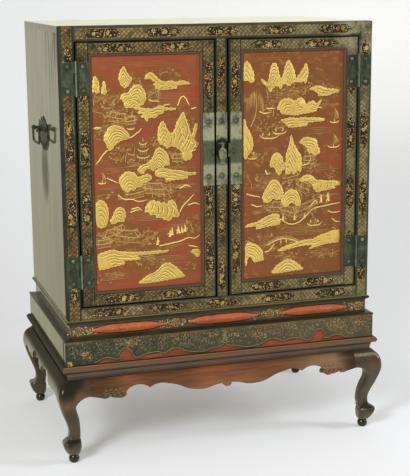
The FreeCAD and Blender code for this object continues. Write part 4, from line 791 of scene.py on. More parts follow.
class Landscape:
    """The gilded landscape of one door: rocks, banks, trees, halls and boats, in hundredths of the panel."""

    def __init__(self, side, left, rng, gold, dust):
        self.side, self.left, self.rng, self.dust = side, left, rng, dust
        tones = bpy.context.scene.cabinet_gilding
        self.shades = self.drawing("shadows", "shadow brown", shade(84, 46, 22), shade(110, 64, 32), 0.0, 0.6)
        self.rocks = self.drawing("rocks", "raised gold", gold, tones.ochre, 0.3, 0.42, 0.85)
        self.lines = self.drawing("contours", "contour brown", tones.contour, shade(104, 72, 32), 0.15, 0.5)
        self.lights = self.drawing("highlights", "bright gold", tones.highlight, gold, 0.3, 0.4, 0.4)
        self.fine = self.drawing("foliage", "foliage gold", tones.dim, shade(132, 90, 46), 0.2, 0.45)
        self.pale = self.drawing("linework", "line gold", tones.line, tones.dim, 0.25, 0.45)
        self.glint = self.drawing("accents", "accent gold", tones.highlight, tones.line, 0.3, 0.4)
        self.washes = []
        self.order = 0

    def drawing(self, piece, tone, *finish):
        """The strokes and fills of one tone: its colour, rubbed colour, metal, roughness and wear."""
        name, front = f"gilt_{piece}_{self.side}", PANEL_FRONT - SHEET_THICKNESS
        material = gilt(f"{tone} {self.side}", *finish)
        return Drawing(name, "door_" + self.side, front, material, "panel_lacquer")

    def at(self, u, v):
        """Millimetres from hundredths of the panel, counted from its top left corner."""
        return self.left + u * PANEL_WIDTH / 100, PANEL_BOTTOM + (100 - v) * PANEL_HEIGHT / 100

    def wash(self, u, v, reach, rise, strength):
        """Gold dust round a place; two broad washes on the right door are laid as a painted sheen."""
        self.washes.append((u, v, reach, rise, strength))

    def mass(self, top, foot, fringe, hooks=0):
        """A rock or bank of raised gold between its skyline and its underside, with contours on it.

        Fringe is its share of plants along the skyline, hooks the number of bent lines that fall from it.
        """
        self.order += 1
        seed = self.order * 3.7 + self.left * 0.01
        level = 0.02 * (self.order % 9)
        drawn = [self.at(*p) for p in pairs(top)]
        crest = freehand(drawn, ROCK_STEP, ROCK_LOBES, seed)
        under = freehand([self.at(*p) for p in pairs(foot)], ROCK_STEP, ROCK_LOBES * 1.3, seed + 1)
        middle = sum(x for x, _ in under) / len(under)
        centre = sum(y for _, y in crest + under) / len(crest + under)
        outline = [(middle + (x - middle) * 0.965, centre + (y - centre) * 0.94) for x, y in crest + under]
        crest, under = outline[:len(crest)], outline[len(crest):]
        self.rocks.fill(outline, level)
        self.shades.stroke(moved(outline + outline[:1], 1.2, -1.8), 3.6, level - 0.2, EVEN)
        self.lights.stroke(crest, 2.6, level + 0.3, (0.6, 1, 0.6))
        self.lights.stroke(under, 1.6, level + 0.3, (0.6, 1, 0.6))
        summit = max(crest, key=lambda p: p[1])
        peaks = [q for p, q, r in zip(drawn, drawn[1:], drawn[2:]) if p[1] < q[1] >= r[1]] or [summit]
        saddles = [(p[0] + q[0]) / 2 for p, q in zip(peaks, peaks[1:])]
        bounds = [min(drawn)[0] - 20, *saddles, max(drawn)[0] + 20]
        if hooks:
            self.hooks(crest, under, outline, hooks * 2, level, seed)
        for k, (peak, start, stop) in enumerate(zip(peaks, bounds, bounds[1:])):
            self.domes([p for p in crest if start <= p[0] < stop], under, peak, outline, level, seed + k)
        for x, y in crest:
            if self.rng.random() < fringe:
                tall = self.rng.uniform(4, 12)
                waist = (x + self.rng.uniform(-1, 1), y + tall * 0.6)
                tip = (x + self.rng.uniform(-2, 2), y + tall)
                self.fine.stroke([(x, y - 1), waist, tip], 1.3, 0.1, (1, 0.8, 0.4))
                if self.rng.random() < 0.5:
                    self.fan(x, y + tall, 4, self.fine)
        u = (middle - self.left) / PANEL_WIDTH * 100
        v = 100 - (summit[1] - PANEL_BOTTOM) / PANEL_HEIGHT * 100
        self.wash(u, v, (top[-2] - top[0]) * 0.5 + 5, 3.2, 0.5)

    def hooks(self, crest, under, outline, count, level, seed):
        """A row of bent lines that fall side by side from the skyline to the foot."""
        for k in range(count):
            x, y = crest[int((k + 0.6) * len(crest) / count)]
            drop = (y - min(under, key=lambda p: abs(p[0] - x))[1]) * 0.92
            lean = wobble(k, seed, 0.5) + 0.25
            line = []
            for t in (0, 0.12, 0.26, 0.4, 0.54, 0.68, 0.82, 1):
                bow = drop * 0.22 * math.sin(math.pi * t)
                line.append((x - lean * drop * t + bow + wobble(t * 3, seed + k, 2), y - drop * t - 2))
            self.contour(line, outline, level, seed + k, (3.2, 0), 3.0)

    def domes(self, slope, under, peak, outline, level, seed):
        """Contours of one summit, each like its skyline but smaller, closing on a root low on one side."""
        if len(slope) < 3:
            return
        low = min(y for x, y in under if abs(x - peak[0]) < 40 or (x, y) == under[-1])
        height, half = peak[1] - low, (slope[-1][0] - slope[0][0]) / 2
        root = peak[0] + wobble(seed, 3, 0.9) * min(half, height)
        count = int(min(height / CONTOUR, half / (CONTOUR * 0.4)))
        for k in range(1, count + 1):
            share = 1 - k / (count + 0.7)
            line = []
            for x, y in slope:
                across = root + (x - root) * share + wobble(y * 0.05, seed + k, 1.6)
                line.append((across, low + (y - low) * share + wobble(x * 0.05, seed + k, 2.0)))
            self.contour(line, outline, level, seed + k * 1.3, (0, -3.2), 3.2)

    def contour(self, line, outline, level, seed, aside, width):
        """A dark line on a rock, with a light of this width beside it."""
        self.broken(self.lines, line, outline, 3.0, level, seed)
        self.broken(self.lights, moved(line, *aside), outline, width, level, seed)

    def broken(self, tone, line, outline, width, level, seed):
        """The parts of a line that lie well inside an outline, with a gap here and there."""
        part = []
        for i, place in enumerate([*line, None]):
            within = place and all(encloses(outline, *p) for p in moved(LINE_MARGIN, *place))
            if within and wobble(i * 0.2, seed, 1) > -0.4:
                part.append(place)
                continue
            if len(part) > 2:
                tone.stroke(part[::2] if len(part) > 6 else part, width, level + 0.45, (0.4, 1, 0.4))
            part = []

    def fan(self, x, y, reach, tone):
        """A spray of needles or leaves."""
        start = self.rng.uniform(-0.4, 1.2)
        for k in range(5):
            turn = start + k * 0.45
            size = reach * self.rng.uniform(0.7, 1.2)
            bend = self.rng.uniform(-0.8, 0.8)
            middle = (x + math.cos(turn) * size * 0.5 + bend, y + math.sin(turn) * size * 0.4 + 0.6)
            tone.stroke([(x, y), middle, beside(x, y, turn, size, 0.7)], 1.3, 0.12, (0.6, 1, 0.4))

    def thicket(self, u0, v0, u1, v1, count, branches):
        """Crowded foliage: sprays of leaves on a few bent branches, over gold dust."""
        (xa, yb), (xb, ya) = self.at(u0, v0), self.at(u1, v1)
        for _ in range(count):
            turn, far = self.rng.uniform(0, 2 * math.pi), self.rng.random() ** 0.5
            x = (xa + xb) / 2 + math.cos(turn) * far * (xb - xa) / 2
            y = (ya + yb) / 2 + math.sin(turn) * far * (yb - ya) / 2
            self.fan(x, y, self.rng.uniform(4, 8), self.pale if self.rng.random() < 0.3 else self.fine)
        for _ in range(branches):
            x, y = self.rng.uniform(xa, xb), self.rng.uniform(ya, (ya + yb) / 2)
            lean = self.rng.uniform(-1, 1) * (xb - xa) * 0.4
            rise = (yb - y) * self.rng.uniform(0.5, 1)
            bough = [(x + lean * a, y + rise * b) for a, b in ((0, 0), (0.2, 0.4), (0.7, 0.6), (1, 1))]
            self.pale.stroke(bough, 2.0, 0.1, (1, 0.7, 0.3))
        self.wash((u0 + u1) / 2, (v0 + v1) / 2, (u1 - u0) * 0.62, (v1 - v0) * 0.62 + 0.6, 0.9)

    def streaks(self, u0, u1, v, count, spread=4.0, thickness=2.0, tone="fine"):
        """Long tapered streaks of sand, water or mist, one above the other."""
        for i in range(count):
            a = u0 + (u1 - u0) * 0.3 * self.rng.random()
            b = u1 - (u1 - u0) * 0.4 * self.rng.random()
            (xa, y), (xb, _) = self.at(a, v), self.at(b, v)
            y += (i - count / 2) * spread
            line = [(xa + (xb - xa) * k / 5, y + wobble(k + i, v * 0.5, 1.8)) for k in range(6)]
            getattr(self, tone).stroke(line, thickness * self.rng.uniform(0.6, 1.2), 0.05, (0.2, 1, 0.1))

    def spit(self, *values):
        """A thin tapering tongue of raised gold through these places."""
        points = freehand([self.at(*p) for p in pairs(values)], 6, 1.0, self.rng.random() * 9)
        self.shades.stroke(moved(points, 0.8, -2), 3.6, 0, (0.8, 1, 0.4))
        self.glint.stroke(points, 4.4, 0.1, (0.9, 1, 0.3))

    def willow(self, u, v0, v1, spread):
        """A bent trunk with hanging threads."""
        x, foot = self.at(u, v1)
        height = self.at(u, v0)[1] - foot
        trunk = [(x + a, foot + height * b) for a, b in ((-12, 0), (3, 0.3), (7, 0.6), (4, 0.9))]
        self.pale.stroke(trunk, 3.6, 0.1, (1, 0.7, 0.4))
        for _ in range(70):
            a = self.rng.uniform(-1, 1)
            top = foot + height * (1 - 0.25 * a * a) - self.rng.uniform(0, 14)
            drop = height * self.rng.uniform(0.15, 0.5)
            tone = self.pale if self.rng.random() < 0.2 else self.fine
            swing = ((0, 0), (3, 0.5), (4, 1))
            thread = [(x + 3 + a * spread + a * side, top - drop * fall) for side, fall in swing]
            tone.stroke(thread, 1.4, 0.12, (1, 0.8, 0.3))
        self.wash(u + 1, (v0 + v1) / 2 - 2, spread / 3.4 + 2, (v1 - v0) * 0.5, 0.9)

    def hall(self, u, v, width, height, tilt=0.0, lean=0.0):
        """A tiled hall seen from above: ridge, eaves, gables, rafters, posts and a railed floor."""
        x, y = self.at(u, v)

        def line(thick, *points, tone=self.pale):
            flat = [(a * width, b * height) for a, b in points]
            tone.stroke([(x + a + b * lean, y + b + a * tilt) for a, b in flat], thick, 0.12, (0.9, 1, 0.9))

        line(2.8, (-0.58, 0.5), (-0.48, 0.44), (0.48, 0.44), (0.58, 0.5))
        line(2.8, (-0.42, 1.02), (-0.36, 0.96), (0.36, 0.96), (0.42, 1.02))
        line(1.4, (-0.36, 0.84), (0.36, 0.84), tone=self.fine)
        for side in (-1, 1):
            line(2.4, (0.36 * side, 0.96), (0.48 * side, 0.44))
            line(1.6, (0.48 * side, 0.44), (0.6 * side, 0.74), (0.36 * side, 0.96))
        for k in range(6):
            a = -0.3 + 0.12 * k
            line(1.3, (a, 0.9), (a * 1.33, 0.48), tone=self.fine)
        for k in range(5):
            line(1.6, (-0.42 + 0.21 * k, 0.42), (-0.42 + 0.21 * k, 0.0), tone=self.fine)
        line(2.0, (-0.5, 0.0), (0.5, 0.0))
        line(1.3, (-0.5, 0.14), (0.5, 0.14), tone=self.fine)
        self.wash(u, v - height / 14.4, width / 5.2, height / 11, 0.7)

    def pagoda(self, u, v, width, height, tiers):
        x, y = self.at(u, v)
        step = height / tiers
        for k in range(tiers):
            half = width * (0.6 - 0.34 * k / tiers)
            base = y + height * k / tiers
            eave = ((-1, 0.85), (-0.7, 0.6), (0.7, 0.6), (1, 0.85))
            eave = [(x + half * a, base + step * b) for a, b in eave]
            self.glint.stroke(eave, 2.6, 0.12, (0.6, 1, 0.6))
            for place in (-0.6, -0.2, 0.2, 0.6):
                post = x + place * half
                self.pale.stroke([(post, base), (post, base + step * 0.6)], 1.6, 0.1, EVEN)
        self.glint.stroke([(x, y + height), (x, y + height + 10)], 2.0, 0.12, (1, 0.8, 0.3))
        self.wash(u, v - height / 14.4, 7, 4, 0.7)

    def boat(self, u, v, width, sail=1.0, rowers=0):
        x, y = self.at(u, v)
        hull = ((-0.5, 0.14), (-0.36, 0.02), (0, -0.03), (0.36, 0.02), (0.5, 0.16))
        self.glint.stroke(moved(hull, x, y, width), 3.4, 0.1, (0.4, 1, 0.4))
        self.pale.stroke(moved(((-0.3, 0.16), (0.3, 0.17)), x, y, width), 1.5, 0.1)
        if sail:
            tall = width * sail
            self.glint.stroke([(x, y), (x + 1, y + tall * 0.5), (x, y + tall)], 1.7, 0.1, (1, 0.8, 0.4))
            edge = moved(((0, 0.95), (0.24, 0.6), (0.3, 0.25)), x, y, tall)
            self.fine.fill([(x, y + tall * 0.2), *edge], -0.1, False)
            self.glint.stroke(edge, 1.7, 0.1)
            for k in range(5):
                level = 0.28 + 0.14 * k
                self.pale.stroke(moved(((0, level), (0.3 - 0.05 * k, level)), x, y, tall), 1.5, 0.1, EVEN)
        for k in range(rowers):
            a = (k + 0.5) / rowers - 0.5
            self.glint.stroke(moved(((a, 0.25), (a - 0.28, -0.2)), x, y, width), 1.5, 0.12)
            self.figure(u + a * width / PANEL_WIDTH * 100, v - 1.1, 11)

    def figure(self, u, v, height):
        """A small robed walker."""
        x, y = self.at(u, v)
        lean = self.rng.uniform(-0.12, 0.12)
        reach, lift = self.rng.choice((-1, 1)) * self.rng.uniform(0.25, 0.4), self.rng.uniform(0.3, 0.75)
        for start, end, width in (
            ((lean * 0.4, 0.3), (lean, 0.74), 0.3),
            ((lean * 0.2 + 0.06, 0.02), (lean * 0.4, 0.42), 0.26),
            ((lean, 0.74), (lean, 0.95), 0.2),
            ((lean, 0.3), (-0.22 + lean, -0.02), 0.2),
            ((lean, 0.58), (reach, lift), 0.14),
        ):
            self.glint.stroke(moved((start, end), x, y, height), width * height, 0.14, (0.9, 1, 0.4))

    def bridge(self, u0, u1, v, rise):
        (xa, y), (xb, _) = self.at(u0, v), self.at(u1, v)

        def deck(t, up=0.0):
            return xa + (xb - xa) * t, y + rise * math.sin(math.pi * t) + up

        for tone, up, thick in ((self.glint, 0, 3.0), (self.pale, 4.5, 1.3), (self.pale, 8, 1.6)):
            tone.stroke([deck(k / 8, up) for k in range(9)], thick, 0.1, EVEN)
        for k in range(1, 12):
            self.pale.stroke([deck(k / 12), deck(k / 12, 8)], 1.2, 0.1, EVEN)
        for t in (0.2, 0.4, 0.6, 0.8):
            a, b = deck(t)
            self.pale.stroke([(a, b), (a, y - 6)], 1.6, 0.1, EVEN)

    def geese(self, u, v, count):
        x, y = self.at(u, v)
        goose = ((-4, 1.8), (-1.4, 0.8), (0, -0.6), (1.6, 1), (4, 1.4))
        for k in range(count):
            self.glint.stroke(moved(goose, x + k * 9.0, y + wobble(k, 3, 6) - k * 1.5), 1.5, 0.1)

    def draw(self, steps):
        """Draws the kinds of things in turn, each at its places, and lays them over their ground."""
        for kind, rows in steps:
            for row in rows:
                kind(self, *row)
        for drawing in (self.shades, self.rocks, self.lines, self.lights, self.fine, self.pale, self.glint):
            drawing.make()
        self.lay_ground()

    def lay_ground(self):
        """A thin lacquered sheet on the door panel, with the places of its gold dust kept on its points."""
        clear_selection()
        bpy.ops.mesh.primitive_grid_add(x_subdivisions=56, y_subdivisions=118, size=1)
        sheet = bpy.context.object
        sheet.name = sheet.data.name = f"picture_ground_{self.side}"
        sheet.scale = (PANEL_WIDTH * MM, PANEL_HEIGHT * MM, 1)
        sheet.location = ((self.left + PANEL_WIDTH / 2) * MM, (PANEL_BOTTOM + PANEL_HEIGHT / 2) * MM, 0)
        settle()
        thickness = sheet.modifiers.new("Thickness", "SOLIDIFY")
        thickness.thickness = SHEET_THICKNESS * MM
        thickness.offset = 1
        bpy.ops.object.modifier_apply(modifier=thickness.name)
        seat_on_front(sheet, PANEL_FRONT)
        wash = sheet.data.attributes.new("wash", "FLOAT", "POINT")
        for point, stored in zip(sheet.data.vertices, wash.data):
            u = (point.co.x / MM - self.left) / PANEL_WIDTH * 100
            v = 100 - (point.co.z / MM - PANEL_BOTTOM) / PANEL_HEIGHT * 100
            bare = 1 - self.dust
            for middle, level, reach, rise, strength in self.washes:
                bare *= 1 - strength * math.exp(-(((u - middle) / reach) ** 2) - ((v - level) / rise) ** 2)
            stored.value = 1 - bare
        sheet.data.materials.clear()
        sheet.data.materials.append(picture_ground(f"picture ground {self.side}"))
        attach(sheet, "door_" + self.side)


# Rocks and banks: skyline from left to right, underside from right to left, fringe of plants, bent lines
LEFT_MASSES = (
    ((0.8, 15, 1.2, 11, 3, 8, 5, 9, 6.6, 12, 6.8, 15), (5, 15.4, 3, 14.6), 0.0),
    ((8.6, 15.4, 10, 12.4, 11.3, 10, 12.6, 12.5, 13.3, 15.2), (12, 15.7, 10, 15.5), 0.0),
    ((24.5, 9.6, 26, 6.6, 29.6, 4.3, 32, 6.5, 34.5, 8.4, 37.3, 9.3),
     (35.5, 11.2, 32, 13.2, 28.5, 13, 25.6, 11.3), 0.0),
    ((56, 12.2, 59, 11.2, 63, 10.9, 67, 11.4, 72, 10.9, 78, 11.5, 84, 11, 92, 12.2),
     (86, 12.7, 79, 12.8, 78.5, 14, 70, 14.4, 62, 14.5, 58.5, 14, 57.5, 13), 0.4),
    ((48, 9.4, 51, 7.6, 54.5, 7.2, 58, 8.4, 62, 10.2, 66, 11.4),
     (62, 12, 57, 10.8, 53.5, 9.6, 50.5, 10.1), 0.3),
    ((25, 17.5, 28, 15.7, 33, 15.2, 36, 13.4, 40, 12.1, 45, 12.4, 48.6, 15, 50, 18.4),
     (48, 20.4, 42, 21.6, 36, 21.7, 31, 21.8, 29.5, 20.6, 27.5, 18.6), 0.3),
    ((38, 21.8, 41, 21.1, 45, 21.9, 50, 22.3, 56, 22.4, 61, 21.4, 65, 21.5, 70, 22.3, 78, 22.5),
     (78, 23.1, 67, 23.2, 65.5, 24.4, 61, 24.9, 58.5, 26.2, 52, 26.3, 49.5, 27.8, 47.5, 26.2, 44, 25.8,
      46, 24.6, 42, 24.1, 42.5, 22.9), 0.5),
    ((10, 35.6, 9.8, 33.2, 12.2, 31.4, 14.5, 29.6, 20, 28.7, 26, 29.4, 30.5, 31.2, 34, 33.6),
     (31, 35, 26, 35.4, 22, 36.6, 19, 37.6, 17.8, 39, 14.5, 39.4, 12, 37.8), 0.5),
    ((59.3, 36, 59.8, 31.5, 62, 28.3, 64.5, 27.7, 67, 30.2, 70.5, 33, 73, 33.3, 76, 31.4, 78, 28.4,
      81.3, 26, 83.8, 24, 86, 26, 88, 29.2, 90.3, 32.2, 91.6, 34.8, 94, 33, 96.4, 29.3, 97.8, 30.5,
      95.8, 34.4, 94.5, 36.3, 97, 38, 99.3, 38.4),
     (96, 40.4, 91, 41.7, 92.6, 43.2, 91, 45.2, 86, 45.8, 83.4, 44.2, 82.4, 41.6, 77, 39.6, 72, 38.9,
      68.6, 39.8, 64.5, 38.3, 61, 37.8), 0.25, 7),
    ((40, 48.2, 43.5, 46.6, 50, 45.6, 54.6, 43.8, 57, 41, 61, 38.8, 65.4, 40.1, 69, 41.9, 70.6, 44.6,
      71, 47),
     (66, 47.2, 64, 48.6, 58, 48, 55.5, 49.2, 51, 47.9, 47, 48.8, 45.5, 50.3, 42, 50), 0.4),
    ((24, 54.6, 22.8, 52, 26, 49.8, 31, 48.7, 37, 49.5, 40, 51.4, 45, 51, 50, 50.2, 53.6, 51.4, 54, 52.6),
     (50, 53.8, 46, 54, 43, 55.6, 39, 55.6, 37, 57, 33, 56.8, 31, 57.9, 27, 57, 25, 56), 0.4),
    ((56, 50.3, 58, 48.7, 62, 48.1, 68, 48.6, 75, 49.3, 82, 49.7, 88, 50.5, 97.3, 50.8),
     (96, 51.6, 87.5, 51.8, 88, 53.1, 78, 53.4, 68, 53.6, 65.8, 52.2, 61.5, 51.9, 57.4, 51.5), 0.3),
    ((0.6, 62, 3, 60.5, 6, 60.3, 9.5, 61.5, 12, 64, 12.8, 67), (11.8, 70.2, 9, 72.3, 4, 72.6, 1, 71), 0.3),
    ((13.3, 69.8, 16, 68, 18, 66, 21, 64.2, 25, 64, 28.2, 66, 28.5, 68.6),
     (26.5, 70.6, 22, 70.2, 17, 71, 14.4, 70.8), 0.2),
    ((46, 66.8, 47.6, 64, 51, 62.2, 54.6, 61.6, 57.4, 62.6, 59.6, 62.2, 62.4, 63.6, 65, 62.8, 67.6, 64,
      70, 62.4, 73.4, 62.2, 76.4, 64.4, 77.6, 66.6, 80, 68),
     (78, 70.2, 73, 69.9, 70, 71.4, 65, 70.6, 62, 69.8, 58, 69.6, 56, 68.2, 51.5, 68.2, 49.5, 67), 0.6, 5),
    ((0.8, 84, 6, 83, 15, 82.2, 20, 83.1, 30, 83.7, 42, 84.1, 52, 84.2, 70, 84.2),
     (69, 84.9, 55, 85.3, 46, 85.3, 38, 85.8, 41.5, 86.9, 39, 87.5, 30, 87.4, 23.5, 87.2, 26.5, 88.6,
      23, 89.5, 17, 89.8, 8, 90.7, 1.5, 91.2), 0.15),
    ((90, 85.6, 93, 84.8, 97, 85, 99.4, 86.4), (99, 87.8, 96, 88.2, 94.4, 87, 91.5, 86.6), 0.2),
    ((38.5, 98, 46.5, 95.3, 54, 93.9, 59, 92.3, 63, 90.4, 68, 89.7, 73.5, 91, 78.5, 93.1, 83, 95.5,
      85, 96.6),
     (75, 97.2, 60, 97.9, 45, 98.5), 0.4),
)
RIGHT_MASSES = (
    ((0.8, 12.2, 0.9, 6, 2.6, 3.6, 5, 3.9, 8, 6.4, 10.4, 9, 10.8, 12.7), (7, 13, 5, 12, 2.5, 12.2), 0.0),
    ((17, 11.3, 20, 12.4, 24, 13, 25.6, 9.5, 27.5, 5.4, 30.5, 4.4, 33, 5.9, 35, 9.4, 37, 11.6, 39.6, 10,
      41.5, 6.4, 44.5, 3.5, 47.5, 4.9, 50.5, 8, 52.6, 11.7, 56, 10, 60, 7.4, 62.6, 5, 64.8, 7.5, 64.8, 10.6,
      62.6, 14.2),
     (60, 13.2, 56.4, 13.4, 52, 13.2, 48, 14, 45.4, 15, 42, 14, 39, 14.2, 37, 16.3, 35, 15.2, 32, 14.8,
      29, 15.8, 26.4, 17.3, 23.4, 15.2, 19.4, 14), 0.0),
    ((65, 16.4, 70, 15.5, 75, 15.1, 80, 16, 85, 16.7, 90, 16.9, 97, 17.5),
     (96, 18.3, 90, 18.7, 86, 19.4, 76, 19.6, 73.4, 18.2, 69.5, 17.1), 0.1),
    ((33, 25.1, 34.4, 22.5, 38, 20.6, 44, 20.1, 48, 20.9, 52, 21.4, 56, 20, 60, 21.1, 62.6, 23.2, 66, 22.2,
      70, 21.8, 74, 22.9, 78.6, 21),
     (77.5, 22.8, 75, 24.5, 73.3, 26.2, 66, 27, 60, 27.2, 52, 27.9, 44, 27.4, 38, 27, 36, 25.5), 0.3),
    ((36.5, 29.6, 42, 29.1, 48, 28.8, 54, 29.2, 60, 28.9, 66, 29.2, 74, 29.2, 82.4, 29.9),
     (81.5, 30.7, 73, 30.9, 64.4, 31.2, 63.5, 32.6, 54, 32.9, 44.5, 33, 42, 31.5, 38, 30.5), 0.1),
    ((0.6, 45.6, 0.7, 28.8, 2.6, 31, 5, 33, 7.2, 35, 9.2, 38, 9.8, 40.6, 8, 43.2),
     (5, 44.8, 2.5, 46.8), 0.0),
    ((42, 53.4, 43, 48.6, 42.4, 45.4, 45, 41.8, 46.6, 38.6, 47.7, 35.9, 49.2, 38.5, 51.5, 41, 54, 43.4,
      57.6, 46, 58.8, 50.4),
     (57.4, 53.6, 54, 52.3, 51, 54.4, 48, 52.8, 45, 54.5), 0.0),
    ((26, 49.2, 28, 45.9, 31, 44.1, 35, 44, 38.5, 45.9, 40, 48.7, 42, 48.2),
     (42, 51.4, 38, 52.8, 36, 54.3, 33, 52.7, 31, 50.8, 28, 50.6), 0.2),
    ((56, 40, 59, 38.1, 64, 37.6, 69, 38.3, 73, 38.9, 74.6, 41.4, 76.6, 43.4, 77.6, 45.2),
     (74, 46.3, 71, 46.1, 69, 44.9, 66, 45.2, 64.4, 43.2, 62, 41.7, 59, 40.8), 0.6),
    ((18.5, 64.3, 20.4, 61.4, 24, 58.9, 27, 56.6, 31, 55.8, 35, 56.8, 38.6, 59.4, 40.8, 62.4),
     (38, 64.8, 34, 65.2, 30, 64.4, 26, 66, 22, 66.3, 19.4, 65.6), 0.3),
    ((37.3, 65.4, 41, 62.8, 45, 61.1, 50, 60.8, 54, 61.8, 56.4, 64.2, 58.3, 66.9),
     (57, 68.8, 53.4, 68.3, 50.5, 67, 47.5, 66.9, 44, 68.3, 41, 68.3, 38.4, 67), 0.3),
    ((56, 56.3, 60, 54.9, 64, 54.4, 69, 55.3, 73, 57.1, 79, 57.5, 86, 58.1, 92, 57.9, 99, 58.9),
     (98, 60.2, 92, 60.5, 94, 61.4, 86, 62, 79, 62.5, 75, 63, 71.8, 61.6, 70, 59.8, 66, 58, 61, 57,
      57.3, 57.6), 0.3, 5),
    ((1, 76.3, 6, 75.2, 13, 74.7, 19, 73.4, 26, 71.8, 31, 71.2, 36.5, 71.6),
     (36.8, 73.6, 37.2, 76, 28, 76.7, 20, 77.2, 13.4, 77.9, 12, 76.3, 6, 76.7), 0.1),
    ((33, 88.4, 42, 86.5, 52, 85.4, 62, 84.3, 70, 84.3, 78, 82.6, 86, 81.6, 92, 80.7, 99.2, 80.5),
     (99, 86.4, 88, 86.6, 76, 87.6, 67, 88.6, 71, 87, 60, 86.8, 48, 87.7, 38, 88.9), 0.3),
    ((1.4, 86.4, 3, 84.1, 6, 83.4, 9.5, 84, 13, 84.6, 17, 86.4, 19.4, 88.6, 20.6, 92.3),
     (17, 92.6, 11, 92.7, 9, 91.1, 6.6, 90, 3.8, 91.2, 2.4, 94.3, 1.4, 92), 0.4),
    ((28, 98.3, 32, 95.8, 38, 93.8, 43, 92.7, 48, 92.8, 53, 94, 58, 96, 61.6, 97.7),
     (55, 98, 42, 98.5, 33, 98.9), 0.4),
)


# What each landscape holds, in the order it is drawn, and the places of each kind
LEFT_PICTURE = (
    (Landscape.thicket, (
        (1, 14, 24, 22, 46, 5), (8, 20, 42, 29, 70, 7), (36, 9, 46, 13, 10, 1), (50, 14, 62, 20, 20, 3),
        (1, 27, 18, 36, 16, 2), (15, 38, 42, 45, 34, 4), (52, 34, 60, 39, 8, 1), (72, 40, 84, 48, 18, 2),
        (28, 43, 58, 47, 18, 2), (2, 57, 30, 60, 10, 1), (52, 53, 76, 61, 34, 4), (56, 58, 76, 62, 16, 2),
        (2, 72, 44, 80, 34, 4), (30, 75, 62, 82, 34, 4), (84, 70, 99, 78, 16, 2), (38, 87, 66, 92, 22, 3),
        (1, 92, 26, 97, 14, 2), (84, 90, 96, 95, 8, 1), (60, 6, 80, 9, 8, 1), (86, 27, 98, 32, 8, 1),
    )),
    (Landscape.mass, LEFT_MASSES),
    (Landscape.hall, (
        (37, 60.5, 62, 40, 0.18, 0.3), (57, 59, 66, 36, -0.1, -0.2), (14, 78.5, 60, 44, 0.3, 0.3),
        (31, 79.5, 70, 42, -0.14, -0.2), (8, 81, 44, 26, 0.1), (22, 27.5, 56, 30, -0.2, 0.2),
        (35, 28.6, 34, 24, 0.1),
    )),
    (Landscape.pagoda, ((46, 44.6, 34, 62, 3),)),
    (Landscape.hall, ((78, 45.6, 32, 26),)),
    (Landscape.boat, ((7.5, 53.2, 26, 1.3), (4, 29.8, 22, 0), (35, 30.6, 24, 0))),
    (Landscape.figure, (
        (58, 81.6, 26), (70, 78.4, 22), (72.5, 77.8, 26), (79, 77.2, 27), (82, 77, 22), (85, 76.6, 24),
    )),
    (Landscape.spit, (
        (60, 82.2, 70, 81.4, 80, 80.6, 88, 79.4, 94, 79.8, 99, 78.4), (88, 82.8, 93, 83.4, 97, 83.8),
        (22, 58.6, 27, 60.6, 34, 60.8, 41, 62, 49, 61.4), (34, 65.2, 40, 64.6, 44, 66.2),
        (31, 34.6, 37, 33.8, 41, 32.4, 45, 30.6), (13, 39.2, 9, 41, 5.5, 43.2, 2, 45),
        (12, 51, 17, 52.4, 22, 53.4), (80, 67.6, 84, 64.6, 88, 63, 93.6, 60.2),
        (33, 66.6, 38, 65.8, 42, 65.4), (66, 21.2, 72, 20.6),
        (79, 21.6, 82, 18.6, 85, 17.8, 88, 19.6, 90, 21.6), (92, 23, 97, 22.6),
        (52, 18.4, 56, 19.2, 62, 19.3), (90, 41.6, 96, 40.6), (80, 57.4, 86, 56.2, 91, 57),
        (88, 65, 94, 64.2, 99, 64.8), (2, 29.4, 8, 29.6),
    )),
    (Landscape.streaks, (
        (56, 99, 18.6, 9, 4.6, 1.4), (60, 99, 33.5, 3, 5), (4, 40, 47.6, 4, 5), (3, 30, 54.8, 4, 5),
        (30, 97, 56.5, 5, 5), (55, 97, 74, 5, 5), (30, 80, 68.6, 5, 5), (60, 97, 82, 3, 4),
        (40, 96, 88, 5, 6), (2, 36, 93.6, 5, 5), (20, 95, 3, 3, 6, 1.2), (50, 99, 48, 3, 4),
        (70, 96, 56, 3, 4, 2.2, "pale"),
        (40, 60, 85.8, 3, 6, 2.4, "pale"), (28, 44, 46, 2, 4, 1.6, "pale"),
    )),
    (Landscape.geese, ((62, 33, 4),)),
)
